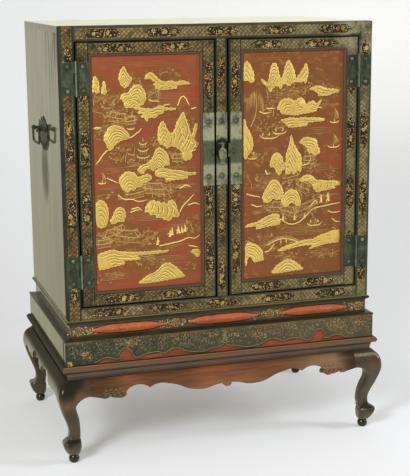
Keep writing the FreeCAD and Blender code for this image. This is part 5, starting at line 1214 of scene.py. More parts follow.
RIGHT_PICTURE = (
    (Landscape.thicket, (
        (22, 14, 62, 21, 56, 4), (54, 13, 90, 20, 30, 4), (20, 20, 36, 28, 18, 2), (17, 27, 42, 35, 34, 4),
        (2, 42, 20, 50, 16, 2), (60, 40, 68, 47, 10, 1), (58, 48, 78, 53, 26, 3), (8, 52, 30, 60, 22, 2),
        (38, 55, 60, 62, 34, 4), (56, 58, 76, 66, 34, 4), (20, 66, 42, 71, 18, 2), (36, 68, 72, 76, 44, 4),
        (64, 68, 80, 72, 8, 1), (20, 82, 56, 88, 26, 3), (18, 80, 34, 86, 10, 1), (60, 76, 96, 82, 16, 1),
        (32, 89, 60, 93, 12, 2), (62, 88, 98, 94, 24, 3), (1, 79, 18, 84, 12, 2), (76, 53, 96, 57, 10, 1),
    )),
    (Landscape.willow, ((11, 16, 32, 26),)),
    # Two broad washes of gold dust near the top and the foot of the right panel are a painted sheen
    (Landscape.wash, ((66, 13, 52, 15, 0.6), (50, 99, 80, 9, 0.6))),
    (Landscape.mass, RIGHT_MASSES),
    (Landscape.hall, (
        (34, 70.4, 60, 34, 0.0, 0.3), (46, 72.6, 56, 34, -0.3, -0.2), (62, 72.2, 62, 40, 0.34, 0.2),
        (58, 62, 40, 34, -0.5, 0.3), (48, 56.6, 50, 26, 0.2), (66, 49.6, 36, 26),
    )),
    (Landscape.boat, (
        (26, 37.2, 66, 0, 3), (36, 35.4, 48, 0, 2), (91.5, 31.6, 32, 1.5), (91, 42.6, 44, 1.0),
        (72, 77.6, 52, 0.5, 2), (9, 46, 34, 0.6),
    )),
    (Landscape.bridge, ((24, 57, 85.4, 18),)),
    (Landscape.spit, ((22, 88.6, 27, 87.6, 31, 84.8),)),
    (Landscape.figure, (
        (79, 67.6, 28), (86.5, 67.2, 30), (38, 85, 12), (43, 84.6, 12), (40, 74.6, 20), (52, 74.8, 20),
        (62, 74.4, 18),
    )),
    (Landscape.spit, (
        (37, 73.8, 44, 76, 51, 76.6, 58, 75.4, 64, 73, 70, 70.4, 76, 69.4), (67, 69.4, 73, 66.6, 75, 68.6),
        (72, 70, 82, 69.2, 92, 68.6, 99, 68.2), (86, 71.6, 92, 72.6, 99, 72.2), (90, 75.4, 94, 76.6, 99, 77),
        (3, 61.6, 9, 62.6, 17, 63.4), (8, 66.4, 13, 67.6, 19, 67.4), (22, 51.4, 24, 53.4, 27, 52.4),
        (16, 25.4, 21, 26.6, 27, 26), (23, 24.4, 31, 24.4), (59, 50.4, 66, 49.4, 68, 46.8),
        (74, 24.6, 79, 25.2),
    )),
    (Landscape.streaks, (
        (22, 62, 18.6, 7, 5), (20, 40, 22, 5, 5), (56, 99, 24, 3, 5), (10, 40, 54.6, 5, 6),
        (60, 98, 51, 4, 6), (2, 36, 58.5, 5, 5), (6, 34, 69, 4, 5), (30, 99, 79.5, 6, 5),
        (24, 60, 90, 3, 5), (60, 98, 90, 5, 6),
        (66, 96, 65, 4, 5), (4, 60, 2.4, 2, 6, 1.2), (60, 99, 34.6, 4, 6), (66, 98, 64.2, 2, 5, 2.2, "pale"),
        (30, 62, 91.6, 2, 5, 1.8, "pale"), (8, 24, 33, 2, 5, 2, "pale"),
    )),
    (Landscape.geese, ((8, 43.6, 4),)),
)


def draw_pictures():
    tones = bpy.context.scene.cabinet_gilding
    for side, left, seed, gold, dust, steps in (
        ("left", -PANEL_INNER - PANEL_WIDTH, 11, tones.bright, 0.08, LEFT_PICTURE),
        ("right", PANEL_INNER, 23, tones.light, 0.36, RIGHT_PICTURE),
    ):
        Landscape(side, left, random.Random(seed), gold, dust).draw(steps)


# ---------------------------------------------------------------- borders


# A quarter of a cartouche's outline and of a red field's, in shares of half its length and half its width
CARTOUCHE = ((0.0, 1.0), (0.34, 1.0), (0.66, 0.98), (0.76, 0.8), (0.81, 0.55), (0.9, 0.4), (1.0, 0.0))
FIELD = (
    (0.0, 0.96), (0.14, 1.0), (0.28, 0.95), (0.42, 0.96), (0.58, 0.86), (0.72, 0.7), (0.84, 0.42), (1.0, 0.0),
)


# Dots of one cell of the lattice: shares of the cell along and across, and a radius
LATTICE_DOTS = ((0.5, 0, 1.7), (0, -0.5, 1.2), (0, 0.5, 1.2), (0.5, -0.96, 1.2), (0.5, 0.96, 1.2))


class Border:
    """The tones of the bands on one body and front."""

    def __init__(self, part, body, front, seed):
        tones = bpy.context.scene.cabinet_gilding
        self.rng = random.Random(seed)
        self.plates, self.lines, self.gold, self.pale, self.red = self.drawings = [
            Drawing(f"{piece}_{part}", body, front, finish, "black_lacquer")
            for piece, finish in (
                ("cartouches", plate_black(f"cartouche black {part}")),
                ("band_lines", gilt(f"band line gold {part}", tones.band, shade(104, 84, 50), 0.25, 0.5)),
                ("band_sprays", gilt(f"spray gold {part}", tones.band, shade(140, 98, 48), 0.3, 0.45)),
                ("band_lights", gilt(f"pale gold {part}", shade(206, 190, 136), tones.band, 0.2, 0.45)),
                ("band_petals", gilt(f"petal red {part}", tones.flower, shade(178, 112, 70), 0.1, 0.5)),
            )
        ]

    def one_of(self, gold, pale, red):
        """One of the three tones, by these weights."""
        return self.rng.choices((self.gold, self.pale, self.red), (gold, pale, red))[0]

    def cartouche(self, upright, x, y, half, width):
        """A dark lobed field with pointed ends, a worn gold rim, and crowded flowering sprays."""
        rng = self.rng

        def laid(points):
            return [(x + b, y + a) if upright else (x + a, y + b) for a, b in points]

        def inside(a, b):
            reach = width * 0.82 * max(0.1, 1 - (abs(a) / half) ** 3)
            return a, max(-reach, min(reach, b))

        ring = ring_of(CARTOUCHE, half, width)
        self.plates.fill(laid(ring), lift=-0.3)
        rim = [(a * 1.02, b * 1.05) for a, b in ring]
        for first, last in zip(rim, rim[1:] + rim[:1]):
            if rng.random() < 0.55:
                self.lines.stroke(laid([first, last]), 0.9, 0.06, (0.6, 1, 0.6))
        for _ in range(int(half * 0.95)):
            a, b = inside(half * rng.uniform(-0.9, 0.9), width * rng.uniform(-1, 1))
            turn, reach = rng.uniform(0, 2 * math.pi), rng.uniform(2.5, 6.5)
            bend = rng.uniform(-1.2, 1.2)
            along, aside = beside(a, b, turn, reach * 0.5)
            middle = inside(along - math.sin(turn) * bend, aside + bend)
            spray = laid([(a, b), middle, inside(*beside(a, b, turn, reach))])
            self.one_of(66, 26, 8).stroke(spray, rng.uniform(1.2, 2.4), 0.2, (0.4, 1, 0.2))
        for _ in range(2 + rng.randrange(2)):
            a, b = inside(half * rng.uniform(-0.66, 0.66), width * rng.uniform(-0.35, 0.35))
            size = rng.uniform(5.0, 8.0)
            tone = self.one_of(60, 28, 12)
            start = rng.random()
            for p in range(7):
                turn = start + p * 2 * math.pi / 7
                petal = [beside(a, b, turn, size * share) for share in (0.3, 0.65, 1)]
                tone.stroke(laid(petal), 2.2, 0.26, (0.4, 1, 0.5))
            self.pale.dot(*laid([(a, b)])[0], 1.4, 0.4)

    def band(self, upright, middle, start, stop, centres, half=58.0, width=13.5):
        """One stile's or rail's band: lattice dots between its cartouches."""
        for centre in centres:
            x, y = (middle, centre) if upright else (centre, middle)
            self.cartouche(upright, x, y, half, width)
        for i in range(math.ceil(start / LATTICE_CELL), math.floor(stop / LATTICE_CELL)):
            for shift, side, radius in LATTICE_DOTS:
                along, across = (i + shift) * LATTICE_CELL, middle + side * LATTICE_CELL
                if min(abs(along - c) for c in centres) < half * 1.03 or self.rng.random() < 0.3:
                    continue
                x, y = (across, along) if upright else (along, across)
                tone = self.pale if self.rng.random() < (0.5 if abs(side) > 0.9 else 0.2) else self.gold
                tone.dot(x, y, radius * self.rng.uniform(0.75, 1.2), 0.05)

    def make(self):
        for drawing in self.drawings:
            if drawing.strokes or drawing.fills:
                drawing.make()


def draw_borders():
    whole = Border("frame", "cabinet", FRAME_FRONT, 5)
    for sign in (-1, 1):
        whole.band(True, sign * FRAME_MIDDLE, 470, 1352, FRAME_CENTRES, 62)
    for height in (TOP_RAIL_MIDDLE, BOTTOM_RAIL_MIDDLE):
        whole.band(False, height, -466, 466, FRAME_RAIL_CENTRES)
    whole.make()
    middle = Border("mullion", "cabinet", MULLION_FRONT, 6)
    middle.band(True, 0, *DOOR_SPAN, MULLION_CENTRES, 50, 11.5)
    middle.make()
    for side, sign in SIDES:
        door = Border(f"door_{side}", f"door_{side}", DOOR_FRONT, 7 + sign)
        for place in (HINGE_STILE_MIDDLE, MEETING_STILE_MIDDLE):
            door.band(True, sign * place, *DOOR_SPAN, DOOR_CENTRES)
        centres = [sign * c for c in DOOR_RAIL_CENTRES]
        inner, outer = sorted((sign * 66, sign * 414))
        for height, width in ((DOOR_TOP_MIDDLE, 12.5), (DOOR_BOTTOM_MIDDLE, 13.5)):
            door.band(False, height, inner, outer, centres, 58, width)
        door.make()


def medallion(tones, x, y, size, rng):
    """A round flower of crowded dabs with a pale broken rim."""
    for ring, count in ((0.25, 5), (0.55, 9), (0.82, 13)):
        for p in range(count):
            turn = 2 * math.pi * (p + rng.uniform(-0.2, 0.2)) / count
            a, b = x + math.cos(turn) * size * ring, y + math.sin(turn) * size * ring
            tone = rng.choices(tones, (50, 20, 30))[0]
            tone.stroke([(a, b), beside(a, b, turn + 0.7, 3.4)], rng.uniform(2.2, 3.4), 0.2, (0.6, 1, 0.4))
    for p in range(14):
        turn = 2 * math.pi * p / 14
        if rng.random() < 0.6:
            rim = [beside(x, y, turn + t, size * 1.02) for t in (0, 0.16, 0.32)]
            tones[1].stroke(rim, 1.3, 0.1)


FRIEZE_MIDDLE = 426.0
FRIEZE_FIELDS = ((-315.0, 118.0), (0.0, 120.0), (315.0, 118.0))
FIELD_WIDTH = 13.6
MEDALLIONS = (-472.0, -158.0, 160.0, 474.0)
MEDALLION_SIZE = 14.5


def draw_frieze():
    rng = random.Random(31)
    drawings = [
        Drawing(f"frieze_{piece}", "cabinet", FRIEZE_FRONT, finish, slot + "_lacquer")
        for piece, slot, finish in (
            ("rims", "black", plate_black("frieze rim black")),
            ("fields", "red", plain_red("frieze red", 182, 94, 60)),
            ("gilding", "black", gilt("frieze gold", shade(230, 190, 112), shade(166, 122, 68), 0.25, 0.48)),
            ("lights", "black", gilt("frieze light", shade(212, 200, 148), shade(150, 132, 90), 0.2, 0.5)),
            ("browns", "black", gilt("frieze brown", shade(172, 120, 64), shade(116, 84, 52), 0.15, 0.5)),
        )
    ]
    shadow, red, *dabs = drawings
    gold, _, brown = dabs

    def high(spread):
        return FRIEZE_MIDDLE + rng.uniform(-spread, spread)

    for middle, half in FRIEZE_FIELDS:
        ring = [
            (middle + a + rng.uniform(-2, 2), FRIEZE_MIDDLE + b + rng.uniform(-0.4, 0.4))
            for a, b in ring_of(FIELD, half, FIELD_WIDTH)
        ]
        red.fill(ring, -0.3)
        rim = [(middle + (a - middle) * 1.04, FRIEZE_MIDDLE + (b - FRIEZE_MIDDLE) * 1.22) for a, b in ring]
        shadow.fill(rim, -0.38)
        for _ in range(22):
            a = middle + half * rng.uniform(-0.5, 0.5)
            arc(gold if rng.random() < 0.5 else brown, a, high(4), 4, rng.uniform(0, 6), 1.4, 1.4, 0.15)
        for sign in (-1, 1):
            for _ in range(9):
                a, b = middle + sign * half * rng.uniform(0.86, 1.12), high(11)
                arc(rng.choice(dabs), a, b, rng.uniform(2, 5), rng.uniform(0, 6), rng.uniform(1, 2), 1.5, 0.2)
    for x in MEDALLIONS:
        medallion(dabs, x, FRIEZE_MIDDLE, MEDALLION_SIZE, rng)
        for _ in range(22):
            a = x + rng.choice((-1, 1)) * rng.uniform(17, 34)
            arc(rng.choice(dabs), a, high(11), rng.uniform(2, 5), rng.uniform(0, 6), 1.6, 1.4)
    for drawing in drawings:
        drawing.make()


# The scalloped edge of the skirt: distance from the middle and height over its foot
SKIRT_FOOT = 322.0
SKIRT_EDGE = (
    (0, 24), (7, 17), (16, 13), (29, 11.5), (42, 10.5), (57, 5), (80, 1.5), (107, 4), (120, 6.5), (134, 11),
    (146, 18), (155, 21.5), (182, 18), (204, 9), (222, 15.5), (240, 15.5), (268, 11), (290, 3), (304, 12),
    (312, 28), (331, 39), (347, 26), (350, 19), (342, 12), (349, 6.5), (359, 5), (382, 12), (407, 10),
    (418, 3.5), (431, 1),
)
# Crowded sprigs of the skirt: place, reach and number of dabs
SPRIGS = (
    (-455, 352, 17, 26), (-300, 380, 26, 22), (-40, 381, 16, 14), (36, 372, 14, 12), (118, 364, 26, 26),
    (230, 384, 20, 12), (392, 378, 26, 26), (470, 372, 18, 20), (-160, 382, 30, 16),
)
SKIRT_DABS = 1600


def draw_skirt():
    rng = random.Random(47)
    rim, line, dots, gold = drawings = [
        Drawing(
            f"skirt_{piece}", "cabinet", SKIRT_FRONT,
            gilt(f"skirt {piece}", shade(*light), shade(*worn), 0.2, 0.5, 0.8), "black_lacquer",
        )
        for piece, light, worn in (
            ("rim", (146, 128, 82), (98, 84, 52)),
            # the dark line is a painted shadow under the gold rim
            ("line", (34, 32, 24), (50, 44, 32)),
            ("dots", (150, 140, 100), (100, 90, 60)),
            ("gold", (180, 140, 78), (124, 94, 54)),
        )
    ]
    edge = [*((-d, h) for d, h in reversed(SKIRT_EDGE[1:])), *SKIRT_EDGE]
    rim.stroke([(a, SKIRT_FOOT + h + 4.5) for a, h in edge], 1.8, 0.14, EVEN)
    # The dark line just inside the gold rim is a painted shadow under the rim
    line.stroke([(a, SKIRT_FOOT + h + 2.0) for a, h in edge], 2.4, 0.08, EVEN)

    def floor(x):
        heights = [h for a, h in edge if abs(a - x) < 16]
        return SKIRT_FOOT + max(heights, default=2) + 13

    for _ in range(SKIRT_DABS):
        x = rng.uniform(-512, 512)
        y = rng.uniform(floor(x), 393)
        bend = wobble(x * 0.02 + y * 0.03, 2, 1.6)
        if rng.random() < 0.55:
            dots.dot(x, y, rng.uniform(0.6, 1.1), 0.06)
        else:
            size, turn = rng.uniform(2.5, 5.5), rng.uniform(0, 6) + bend
            arc(dots, x, y, size, turn, rng.choice((-1, 1)) * rng.uniform(1, 2.4), 1.0, 0.06)
    for x, y, reach, count in SPRIGS:
        for _ in range(count):
            turn, far = rng.uniform(0, 6.28), rng.random() ** 0.5
            a, b = x + math.cos(turn) * far * reach, y + math.sin(turn) * far * reach * 0.5
            if floor(a) - 6 < b < 394:
                tone = gold if rng.random() < 0.7 else rim
                arc(tone, a, b, rng.uniform(2.5, 6), rng.uniform(0, 6), 1.6, 1.7, 0.16)
    for k in range(5):
        half = 12 - 2.0 * k
        foot = 353 + 6.4 * k
        for side in (-1, 1):
            curl = [(side * half * a, foot + b) for a, b in ((-1, 2), (-0.8, -1), (-0.3, 4), (0, 6))]
            rim.stroke(curl, 2.6, 0.2)
    rim.dot(0, 391, 3.2, 0.2)
    for _ in range(18):
        arc(gold, -506 + rng.uniform(-5, 5), 331 + rng.uniform(-6, 6), 3, rng.uniform(0, 6), 2, 3.0, 0.2)
    for drawing in drawings:
        drawing.make()


# Curls of one leaf of the apron: distance along, rise and size
LEAF_HEIGHT = 229
LEAF_CURLS = ((2, 0, 8), (18, -3, 8), (33, -1, 7), (48, -3, 8), (62, 0, 6))
LEAF_STARTS = ((-342.0, -1), (328.0, 1))


def carve_apron():
    """Curled leaves and a centre drop raised on the apron over dark strokes of painted shade in their
    hollows, each point moved onto the face under it.
    """
    grounds, leaves = drawings = [
        Drawing(piece, "cabinet", APRON_FRONT, finish, "stand_wood")
        for piece, finish in (
            ("apron_hollow_shade", polished_wood("carved hollow shade", shade(26, 20, 14), shade(22, 18, 12), "x", 0.4)),
            ("apron_leaves", polished_wood("carved wood", shade(138, 116, 80), shade(70, 58, 40), "x", 0.3)),
        )
    ]
    for start, sign in LEAF_STARTS:
        for k, (along, rise, size) in enumerate(LEAF_CURLS):
            x, y = start + sign * along, LEAF_HEIGHT + rise
            # The wide dark stroke under each leaf is painted shade in its hollow
            for drawing, width, lift in ((grounds, 7.4, 0.0), (leaves, 3.2, 0.5)):
                arc(drawing, x, y, size, math.pi / 2, -sign * 4.4, width, lift)
                arc(drawing, x, y, size * 0.45, 1.0, sign * 3.6, width * 0.9, lift)
                if k < 4:
                    turn = math.pi * (0.2 if sign < 0 else 0.8)
                    arc(drawing, x + sign * 8, y + 10, 5, turn, -sign * 2.2, width * 0.8, lift)
    for drawing, width, lift in ((grounds, 5.0, 0.0), (leaves, 3.0, 0.5)):
        for sign in (-1, 1):
            arc(drawing, -6 + sign * 8, 222, 5.5, math.pi / 2, sign * 3.2, width, lift)
    apron = frame["nodes"]["stand_apron_front"]
    inward = apron.matrix_world.inverted()
    ahead = inward.to_3x3() @ Vector((0, 1, 0))
    for drawing in drawings:
        for point in drawing.make().data.vertices:
            met, place, _, _ = apron.ray_cast(inward @ Vector((point.co.x, -0.6, point.co.z)), ahead)
            if met:
                point.co.y += (apron.matrix_world @ place).y - APRON_FRONT * MM


# ---------------------------------------------------------------- operators


# Long lines of a moulding: height, half the width and a tone
PALE_LINE = (120, 110, 74)
DARK_LINE = (26, 26, 18)
CAP_LINES = ((460.6, 1.0, PALE_LINE), (456.0, 1.8, DARK_LINE), (446.2, 0.7, PALE_LINE))
LEDGE_LINES = ((404.6, 0.7, (112, 88, 56)), (401.6, 1.4, DARK_LINE), (398.8, 0.4, PALE_LINE))
FRIEZE_LINES = ((441.5, 1.2, DARK_LINE), (408.6, 1.0, DARK_LINE))
# Painted shade and highlights of the stand's top frame: a dark band in the cove under its nose, a dark line
# at the nose's foot, and pale highlight lines at the foot of the cove and near the top
TOP_FRAME_LINES = (
    (296.0, 6.5, (60, 54, 40)), (303.5, 0.9, (34, 28, 20)), (293.0, 0.8, (110, 86, 60)),
    (320.0, 0.8, (146, 112, 80)),
)
# On the waist: a dark band of painted shade where a groove would be, and a pale line at its top
WAIST_LINES = ((283.0, 4.0, (46, 40, 30)), (288.0, 0.8, (104, 84, 58)))
# Painted highlights on the front right leg: along the top of its knee and low on its foot
LEG_SHEEN = ((264.0, 4.0, (156, 150, 124)), (70.0, 1.6, (128, 122, 98)))

# Darker patches of the apron and old black stains of the legs: place, reach and strength
APRON_DARK_PATCHES = (
    ((-440, -340, 236), 110, 0.65), ((475, -340, 244), 84, 0.85), ((-200, -340, 290), 120, 0.4),
    ((180, -340, 292), 110, 0.3),
)
FRONT_LEFT_STAINS = (
    ((-528, -345, 246), 40, 1.0), ((-500, -335, 262), 34, 0.9), ((-515, -350, 84), 30, 0.9),
    ((-510, -340, 160), 36, 0.4),
)
LEG_STAINS = (((515, -330, 80), 26, 0.7), ((470, -330, 170), 40, 0.5), ((-510, 330, 120), 60, 0.5))

# Nails of the hinges and lock plates: places across and heights
HINGE_NAILS = ((483.0, 436.25), (579.5, 651.5, 1171.0, 1243.0))
PLATE_NAILS = ((45.0, 0.0), (890.0, 1062.0))
# Place across of the hinges' knuckle, where a highlight is painted
KNUCKLE = 459.0

# Bands of the lock plates: foot, top and a tone, the pale ones painted highlights; and the painted shade
# behind the pull
PLATE_BANDS = ((1006, 1047, (168, 166, 134)), (893, 927, (160, 160, 128)), (929, 1004, (70, 78, 58)))
PULL_SHADE = (976, 21, 36)

# The studio: paper sweep, lamps and camera, in metres and radians
SWEEP_SIZE = (14, 9, 1)
SWEEP_PLACE = (0, -1.5, 0)
SWEEP_HEIGHT = 6
SWEEP_BEND = 1.6
KEY_PLACE = (-2.5, -2.6, 2.05)
FILL_PLACE = (3.34, -1.4, 2.0)
LAMP_AIM = (0, 0, 0.7)
CAMERA_PLACE = (-1.17773, -3.87821, 1.48383)
CAMERA_TURN = -0.3039
CAMERA_DROP = 0.208
CAMERA_ROLL = -0.0083
SENSOR_WIDTH = 36


def paper(studio):
    """Pale paper that glows a little to the eye and can be seen through from its back; darker at its left end
    as painted shade, and paler towards the right of the backdrop as painted light.
    """
    f = Finish("paper sweep")
    # Painted shade: the floor darkens towards the left
    f.colour = f.blend(f.soft(f.x + f.cloud(0.6, 2) * 300, -2000, 1200), studio.floor_left_shade, studio.floor)
    # Painted light: the backdrop is laid paler towards the right, evening out the cabinet's shadow on it
    lit_backdrop = f.blend(f.soft(f.x, -400, 2500), shade(224, 227, 234), shade(253, 254, 255))
    f.lay(f.soft(f.z, 150, 900), lit_backdrop)
    glow = f.blend(f.seen(), f.blend(f.mirrored(), (0, 0, 0), studio.mirror_glow), studio.glow)
    lit = {"Emission Color": glow, "Emission Strength": 1.0, "Alpha": 1 - f.seen() * f.behind()}
    return f.surface(0.9, f.cloud(30), 0.0005, lit)


def pick_edges(sweep, wanted):
    """Selects the edges of the sweep whose two ends are both wanted, and goes to edit mode."""
    for edge in sweep.data.edges:
        edge.select = all(wanted(sweep.data.vertices[end].co) for end in edge.vertices)
    bpy.ops.object.mode_set(mode="EDIT")


class CABINET_OT_stage(bpy.types.Operator):
    """Lays the pale sweep, hangs the soft lamps and sets the camera"""

    bl_idname = "cabinet.stage"
    bl_label = "Studio"

    def execute(self, context):
        studio = context.scene.cabinet_studio
        clear_selection()
        bpy.ops.mesh.primitive_plane_add(size=1, location=(0, 0, 0))
        sweep = context.object
        sweep.name = "floor_sweep"
        sweep.scale = SWEEP_SIZE
        sweep.location = SWEEP_PLACE
        bpy.ops.object.transform_apply(location=True, scale=True)
        bpy.ops.object.mode_set(mode="EDIT")
        bpy.ops.mesh.select_mode(type="EDGE")
        bpy.ops.mesh.select_all(action="DESELECT")
        bpy.ops.object.mode_set(mode="OBJECT")
        pick_edges(sweep, lambda end: end.y > 0)
        bpy.ops.mesh.extrude_region_move(TRANSFORM_OT_translate={"value": (0, 0, SWEEP_HEIGHT)})
        bpy.ops.object.mode_set(mode="OBJECT")
        pick_edges(sweep, lambda end: end.y > 0 and end.z < 0.01)
        bpy.ops.mesh.bevel(offset=SWEEP_BEND, segments=16)
        bpy.ops.object.mode_set(mode="OBJECT")
        bpy.ops.object.shade_smooth()
        sweep.data.materials.append(paper(studio))
        sweep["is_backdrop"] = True
        lamps = (("key_lamp", studio.key, KEY_PLACE), ("fill_lamp", studio.fill, FILL_PLACE))
        for name, power, place in lamps:
            bpy.ops.object.light_add(type="AREA", location=place)
            lamp = context.object
            lamp.name = name
            lamp.data.energy = power
            lamp.data.size = studio.lamp_size
            lamp.rotation_euler = (Vector(place) - Vector(LAMP_AIM)).to_track_quat("Z", "Y").to_euler()
        world = bpy.data.worlds.new("studio")
        context.scene.world = world
        f = Finish("studio", owner=world)
        room = f.blend(f.seen(), [c * studio.sky for c in shade(255, 252, 243)], studio.backdrop)
        light = f.node("Background", inputs={"Color": room, "Strength": 1.0})
        f.node("OutputWorld", inputs={"Surface": light})
        bpy.ops.object.camera_add(location=CAMERA_PLACE)
        camera = context.object
        camera.name = "camera"
        turn = Matrix.Rotation(CAMERA_TURN, 3, "Z") @ Matrix.Rotation(math.pi / 2 - CAMERA_DROP, 3, "X")
        camera.rotation_euler = (turn @ Matrix.Rotation(CAMERA_ROLL, 3, "Z")).to_euler()
        camera.data.sensor_width = SENSOR_WIDTH
        camera.data.lens = studio.lens
        context.scene.camera = camera
        context.scene.view_settings.view_transform = "Standard"
        return {"FINISHED"}


class CABINET_OT_lacquer(bpy.types.Operator):
    """Lacquers the carcass, the doors and the base"""

    bl_idname = "cabinet.lacquer"
    bl_label = "Lacquer"

    def execute(self, context):
        sides = ("carcass_side_left", "carcass_side_right", "base_skirt_boards", "base_frieze_boards")
        paint(side_lacquer("side lacquer"), *sides)
        paint(black_lacquer("top lacquer", 0.2, 1.0), "carcass_top")
        lightened = FADED_GROUND
        bands = [
            ("face_stile_left", "frame stile left", [-FRAME_MIDDLE], True, (142, 98, 56), 0.9),
            ("face_stile_right", "frame stile right", [FRAME_MIDDLE], True, (152, 130, 88), 0.7),
            ("face_rail_top", "frame top rail", [TOP_RAIL_MIDDLE], False, (166, 146, 106), 0.5, lightened),
            ("face_rail_bottom", "frame bottom rail", [BOTTOM_RAIL_MIDDLE], False, (198, 162, 112), 0.9,
             lightened),
            ("mullion", "mullion lacquer", [0.0], True, (132, 106, 62), 0.5, DARK_GROUND, MULLION_HALF),
        ]
        for side, sign in SIDES:
            rails = [DOOR_TOP_MIDDLE, DOOR_BOTTOM_MIDDLE]
            bands += [
                (f"door_{side}_hinge_stile", f"hinge stile {side}", [sign * HINGE_STILE_MIDDLE], True),
                (f"door_{side}_meeting_stile", f"meeting stile {side}", [sign * MEETING_STILE_MIDDLE], True),
                (f"door_{side}_rails", f"door rails {side}", rails, False, (138, 114, 66)),
            ]
        for node, *band in bands:
            paint(banded_lacquer(*band), node)
        paint(plain_red("panel red", 150, 70, 46), "door_left_panel", "door_right_panel")
        paint(plain_red("skirt red", 128, 62, 42), "base_skirt_front")
        beads = worn_moulding("bead lacquer", (), (88, 60, 46), (60, 42, 32))
        paint(beads, "door_left_bead", "door_right_bead")
        paint(worn_moulding("cap lacquer", CAP_LINES), "base_cap_moulding")
        paint(worn_moulding("ledge lacquer", LEDGE_LINES, (72, 58, 38)), "base_ledge")
        paint(worn_moulding("frieze lacquer", FRIEZE_LINES, (84, 70, 48)), "base_frieze_front")
        paint(skirt_lacquer("skirt lacquer"), "base_skirt_overlay")
        return {"FINISHED"}


class CABINET_OT_stand(bpy.types.Operator):
    """Waxes the stand's wood and the unseen boards, and carves the apron's leaves"""

    bl_idname = "cabinet.stand"
    bl_label = "Stand wood"

    def execute(self, context):
        wood = context.scene.cabinet_wood
        # Painted shade laid on the side faces of all the stand's wood
        side = shade(38, 36, 24)
        top_frame = polished_wood("frame wood", wood.frame, side, "x", 0.35, lines=TOP_FRAME_LINES)
        paint(top_frame, "stand_top_frame")
        waist = polished_wood("waist wood", shade(72, 58, 42), side, "x", 0.5, lines=WAIST_LINES)
        paint(waist, "stand_waist")
        # The apron's paler right part is a painted reflection
        apron = polished_wood("apron wood", wood.apron, side, "x", 0.7, dark_patches=APRON_DARK_PATCHES, lightened=0.55)
        paint(apron, "stand_apron_front", "stand_apron_back")
        side_apron = polished_wood("side apron wood", shade(76, 60, 44), side, "y", 0.7, red=(84, 62, 44))
        paint(side_apron, "stand_apron_left", "stand_apron_right")
        for name, red, dark_patches, sheen in (
            ("stand_leg_front_left", (124, 66, 40), FRONT_LEFT_STAINS, ()),
            ("stand_leg_front_right", (98, 72, 44), LEG_STAINS, LEG_SHEEN),
            ("stand_leg_back_left", (98, 72, 44), LEG_STAINS, ()),
            ("stand_leg_back_right", (98, 72, 44), LEG_STAINS, ()),
        ):
            worn = {"red": red, "gloss": 0.24, "dark_patches": dark_patches, "lines": sheen}
            paint(polished_wood(name.replace("_", " "), wood.leg, side, "z", 0.7, **worn), name)
        paint(black_lacquer("ball black", 0.15), "stand_ball_feet")
        paint(plain_board("back wood", shade(122, 98, 70), True), "carcass_back")
        boards = ("base_bearers", "carcass_bottom", "shelf_bearers", "shelves", "stand_cross_rails")
        paint(plain_board("inner wood", wood.inner), *boards)
        carve_apron()
        return {"FINISHED"}


class CABINET_OT_metal(bpy.types.Operator):
    """Tarnishes the hinges, plates, handles, nails and the pull"""

    bl_idname = "cabinet.metal"
    bl_label = "Metalwork"

    def execute(self, context):
        metal = context.scene.cabinet_metal
        hinges = tarnished(
            "hinge brass", metal.dark, shade(108, 112, 88), 0.45, nails=HINGE_NAILS, stain=(26, 32, 24),
            knuckle=KNUCKLE,
        )
        handles = tarnished("handle brass", shade(26, 28, 18), shade(70, 74, 54), 0.35, metallic=0.1)
        nails = tarnished("nail brass", shade(64, 70, 54), shade(150, 152, 122), 0.8)
        plates = tarnished(
            "lock plate metal", shade(118, 122, 96), metal.pale, 0.8, nails=PLATE_NAILS, bands=PLATE_BANDS,
            pull_shade=PULL_SHADE,
        )
        staples = tarnished("staple metal", shade(58, 60, 44), shade(120, 118, 90), 0.6)
        pull = tarnished("pull metal", shade(92, 100, 76), shade(168, 168, 128), 0.8)
        for finish, start, end in (
            (hinges, "hinge_", ""),
            (handles, "handle_", ""),
            (nails, "", "_nails"),
            (plates, "lock_plate", ""),
            (staples, "lock_staple", ""),
        ):
            paint(finish, *[name for name in frame["nodes"] if name.startswith(start) and name.endswith(end)])
        paint(pull, "pendant_pull", "pull_staple")
        return {"FINISHED"}


class CABINET_OT_pictures(bpy.types.Operator):
    """Lays the red grounds and gilds the landscapes on the doors"""

    bl_idname = "cabinet.pictures"
    bl_label = "Door landscapes"

    def execute(self, context):
        draw_pictures()
        return {"FINISHED"}


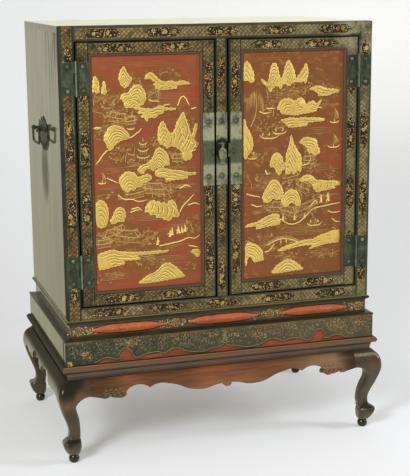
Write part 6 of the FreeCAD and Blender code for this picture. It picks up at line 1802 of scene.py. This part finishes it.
class CABINET_OT_borders(bpy.types.Operator):
    """Gilds the cartouches and lattices of the frame and the doors"""

    bl_idname = "cabinet.borders"
    bl_label = "Borders"

    def execute(self, context):
        draw_borders()
        return {"FINISHED"}


class CABINET_OT_base(bpy.types.Operator):
    """Gilds the frieze and the skirt of the base"""

    bl_idname = "cabinet.base"
    bl_label = "Base ornament"

    def execute(self, context):
        draw_frieze()
        draw_skirt()
        return {"FINISHED"}


STEPS = (
    CABINET_OT_lacquer, CABINET_OT_stand, CABINET_OT_metal, CABINET_OT_pictures, CABINET_OT_borders,
    CABINET_OT_base, CABINET_OT_stage,
)
SETTINGS = {
    "cabinet_lacquer": CabinetLacquer, "cabinet_gilding": CabinetGilding, "cabinet_metal": CabinetMetal,
    "cabinet_wood": CabinetWood, "cabinet_studio": CabinetStudio,
}


class CABINET_PT_pieces(bpy.types.Panel):
    """Lists the pieces and their settings"""

    bl_idname = "CABINET_PT_pieces"
    bl_label = "Cabinet"
    bl_space_type = "VIEW_3D"
    bl_region_type = "UI"
    bl_category = "Cabinet"

    def draw(self, context):
        for step in STEPS:
            self.layout.operator(step.bl_idname)
        for name in SETTINGS:
            group = getattr(context.scene, name)
            for setting in group.bl_rna.properties.keys():
                if setting not in ("rna_type", "name"):
                    self.layout.prop(group, setting)


def register():
    for group in SETTINGS.values():
        bpy.utils.register_class(group)
    for name, group in SETTINGS.items():
        setattr(bpy.types.Scene, name, PointerProperty(type=group))
    for step in (*STEPS, CABINET_PT_pieces):
        bpy.utils.register_class(step)


def unregister():
    for step in (*STEPS, CABINET_PT_pieces):
        bpy.utils.unregister_class(step)
    for name, group in SETTINGS.items():
        delattr(bpy.types.Scene, name)
        bpy.utils.unregister_class(group)


def main():
    register()
    for step in STEPS:
        area, _, name = step.bl_idname.partition(".")
        if getattr(getattr(bpy.ops, area), name)() != {"FINISHED"}:
            raise RuntimeError(f"{step.bl_label} could not be finished")
    [[list(corner) for corner in box] for box in (CAD_BOX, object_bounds())]


if __name__ == "__main__":
    main()
